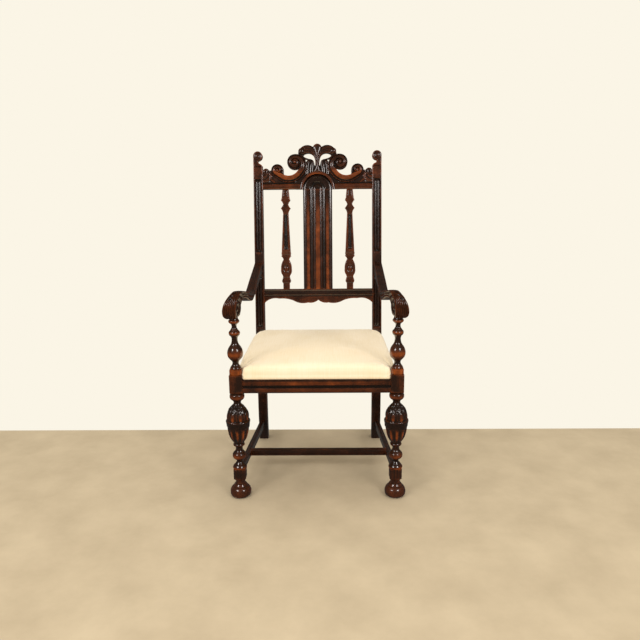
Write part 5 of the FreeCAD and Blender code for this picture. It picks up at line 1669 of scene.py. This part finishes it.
def paleFloor():
    material, tree = emptyMaterial("concrete, trowelled")
    stain = noise(tree, [studio["floorPatch"]] * 3, 5.0, 0.6)
    bare = colourRamp(tree, stain, [(0.3, studio["floorDark"]), (0.7, studio["floorPale"])])
    closeMaterial(tree, {"Roughness": studio["floorRoughness"]}, bare)
    mesh = bpy.data.meshes.new("floor")
    wide, far = studio["floorReach"], studio["floorBack"]
    corners = [(-wide, -wide, 0), (wide, -wide, 0), (wide, far, 0), (-wide, far, 0)]
    mesh.from_pydata(corners, [], [(0, 1, 2, 3)])
    floor = bpy.data.objects.new("floor", mesh)
    bpy.context.scene.collection.objects.link(floor)
    mesh.materials.append(material)
    floor.visible_glossy = False    # the room's own floor barely shows in the old varnish


def softLight(name, angle, height, distance, size, power, mirrored):
    lamp = bpy.data.lights.new(name, "AREA")
    lamp.shape = "DISK"
    lamp.size = size
    lamp.energy = power
    lamp.color = studio["lampColour"]
    turn = math.radians(angle)
    place = Vector((distance * math.sin(turn), -distance * math.cos(turn), height))
    holder = bpy.data.objects.new(name, lamp)
    holder.location = place
    holder.rotation_euler = (Vector(studio["aim"]) - place).to_track_quat("-Z", "Y").to_euler()
    holder.visible_glossy = mirrored
    bpy.context.scene.collection.objects.link(holder)


def studioWorld():
    # a white room: bright behind the chair and as fill, dim where the varnish mirrors it
    world = bpy.data.worlds.new("studio")
    bpy.context.scene.world = world
    world.use_nodes = True
    tree = world.node_tree
    tree.nodes.clear()
    path = addNode(tree, "ShaderNodeLightPath").outputs
    seen, fill, gloss = [addNode(tree, "ShaderNodeBackground", {"Color": linearColour(studio[tint]),
                                                                "Strength": strength}).outputs[0]
                         for tint, strength in (("wall", 1.0), ("fill", studio["worldGlow"]),
                                                ("fill", studio["mirroredGlow"]))]
    unseen = addNode(tree, "ShaderNodeMixShader", {}, {0: path["Is Glossy Ray"], 1: fill, 2: gloss})
    every = addNode(tree, "ShaderNodeMixShader", {}, {0: path["Is Camera Ray"], 1: unseen.outputs[0],
                                                      2: seen})
    addNode(tree, "ShaderNodeOutputWorld", {}, {"Surface": every.outputs[0]})


def frontCamera():
    # the photograph's own viewpoint, solved from the chair's straight lines
    lens = bpy.data.cameras.new("front camera")
    lens.sensor_width = studio["sensor"]
    lens.lens = studio["lens"]
    camera = bpy.data.objects.new("front camera", lens)
    turn, tilt, roll = [math.radians(degrees) for degrees in studio["cameraTurns"]]
    ahead = Vector((math.sin(turn) * math.cos(tilt), math.cos(turn) * math.cos(tilt), -math.sin(tilt)))
    right = Vector((math.cos(turn), -math.sin(turn), 0))
    above = right.cross(ahead)
    x = right * math.cos(roll) + above * math.sin(roll)
    y = above * math.cos(roll) - right * math.sin(roll)
    across, depth, height = studio["cameraPlace"]
    place = Vector((across, depth + chair["legY"] * mm, height))
    camera.matrix_world = Matrix(((x.x, y.x, -ahead.x, place.x), (x.y, y.y, -ahead.y, place.y),
                                  (x.z, y.z, -ahead.z, place.z), (0, 0, 0, 1)))
    bpy.context.scene.collection.objects.link(camera)
    bpy.context.scene.camera = camera


paleFloor()
for name, values in studio["lamps"].items():
    softLight(name, *values)
studioWorld()
frontCamera()
bpy.context.scene.view_settings.view_transform = "Standard"
print("studio made")
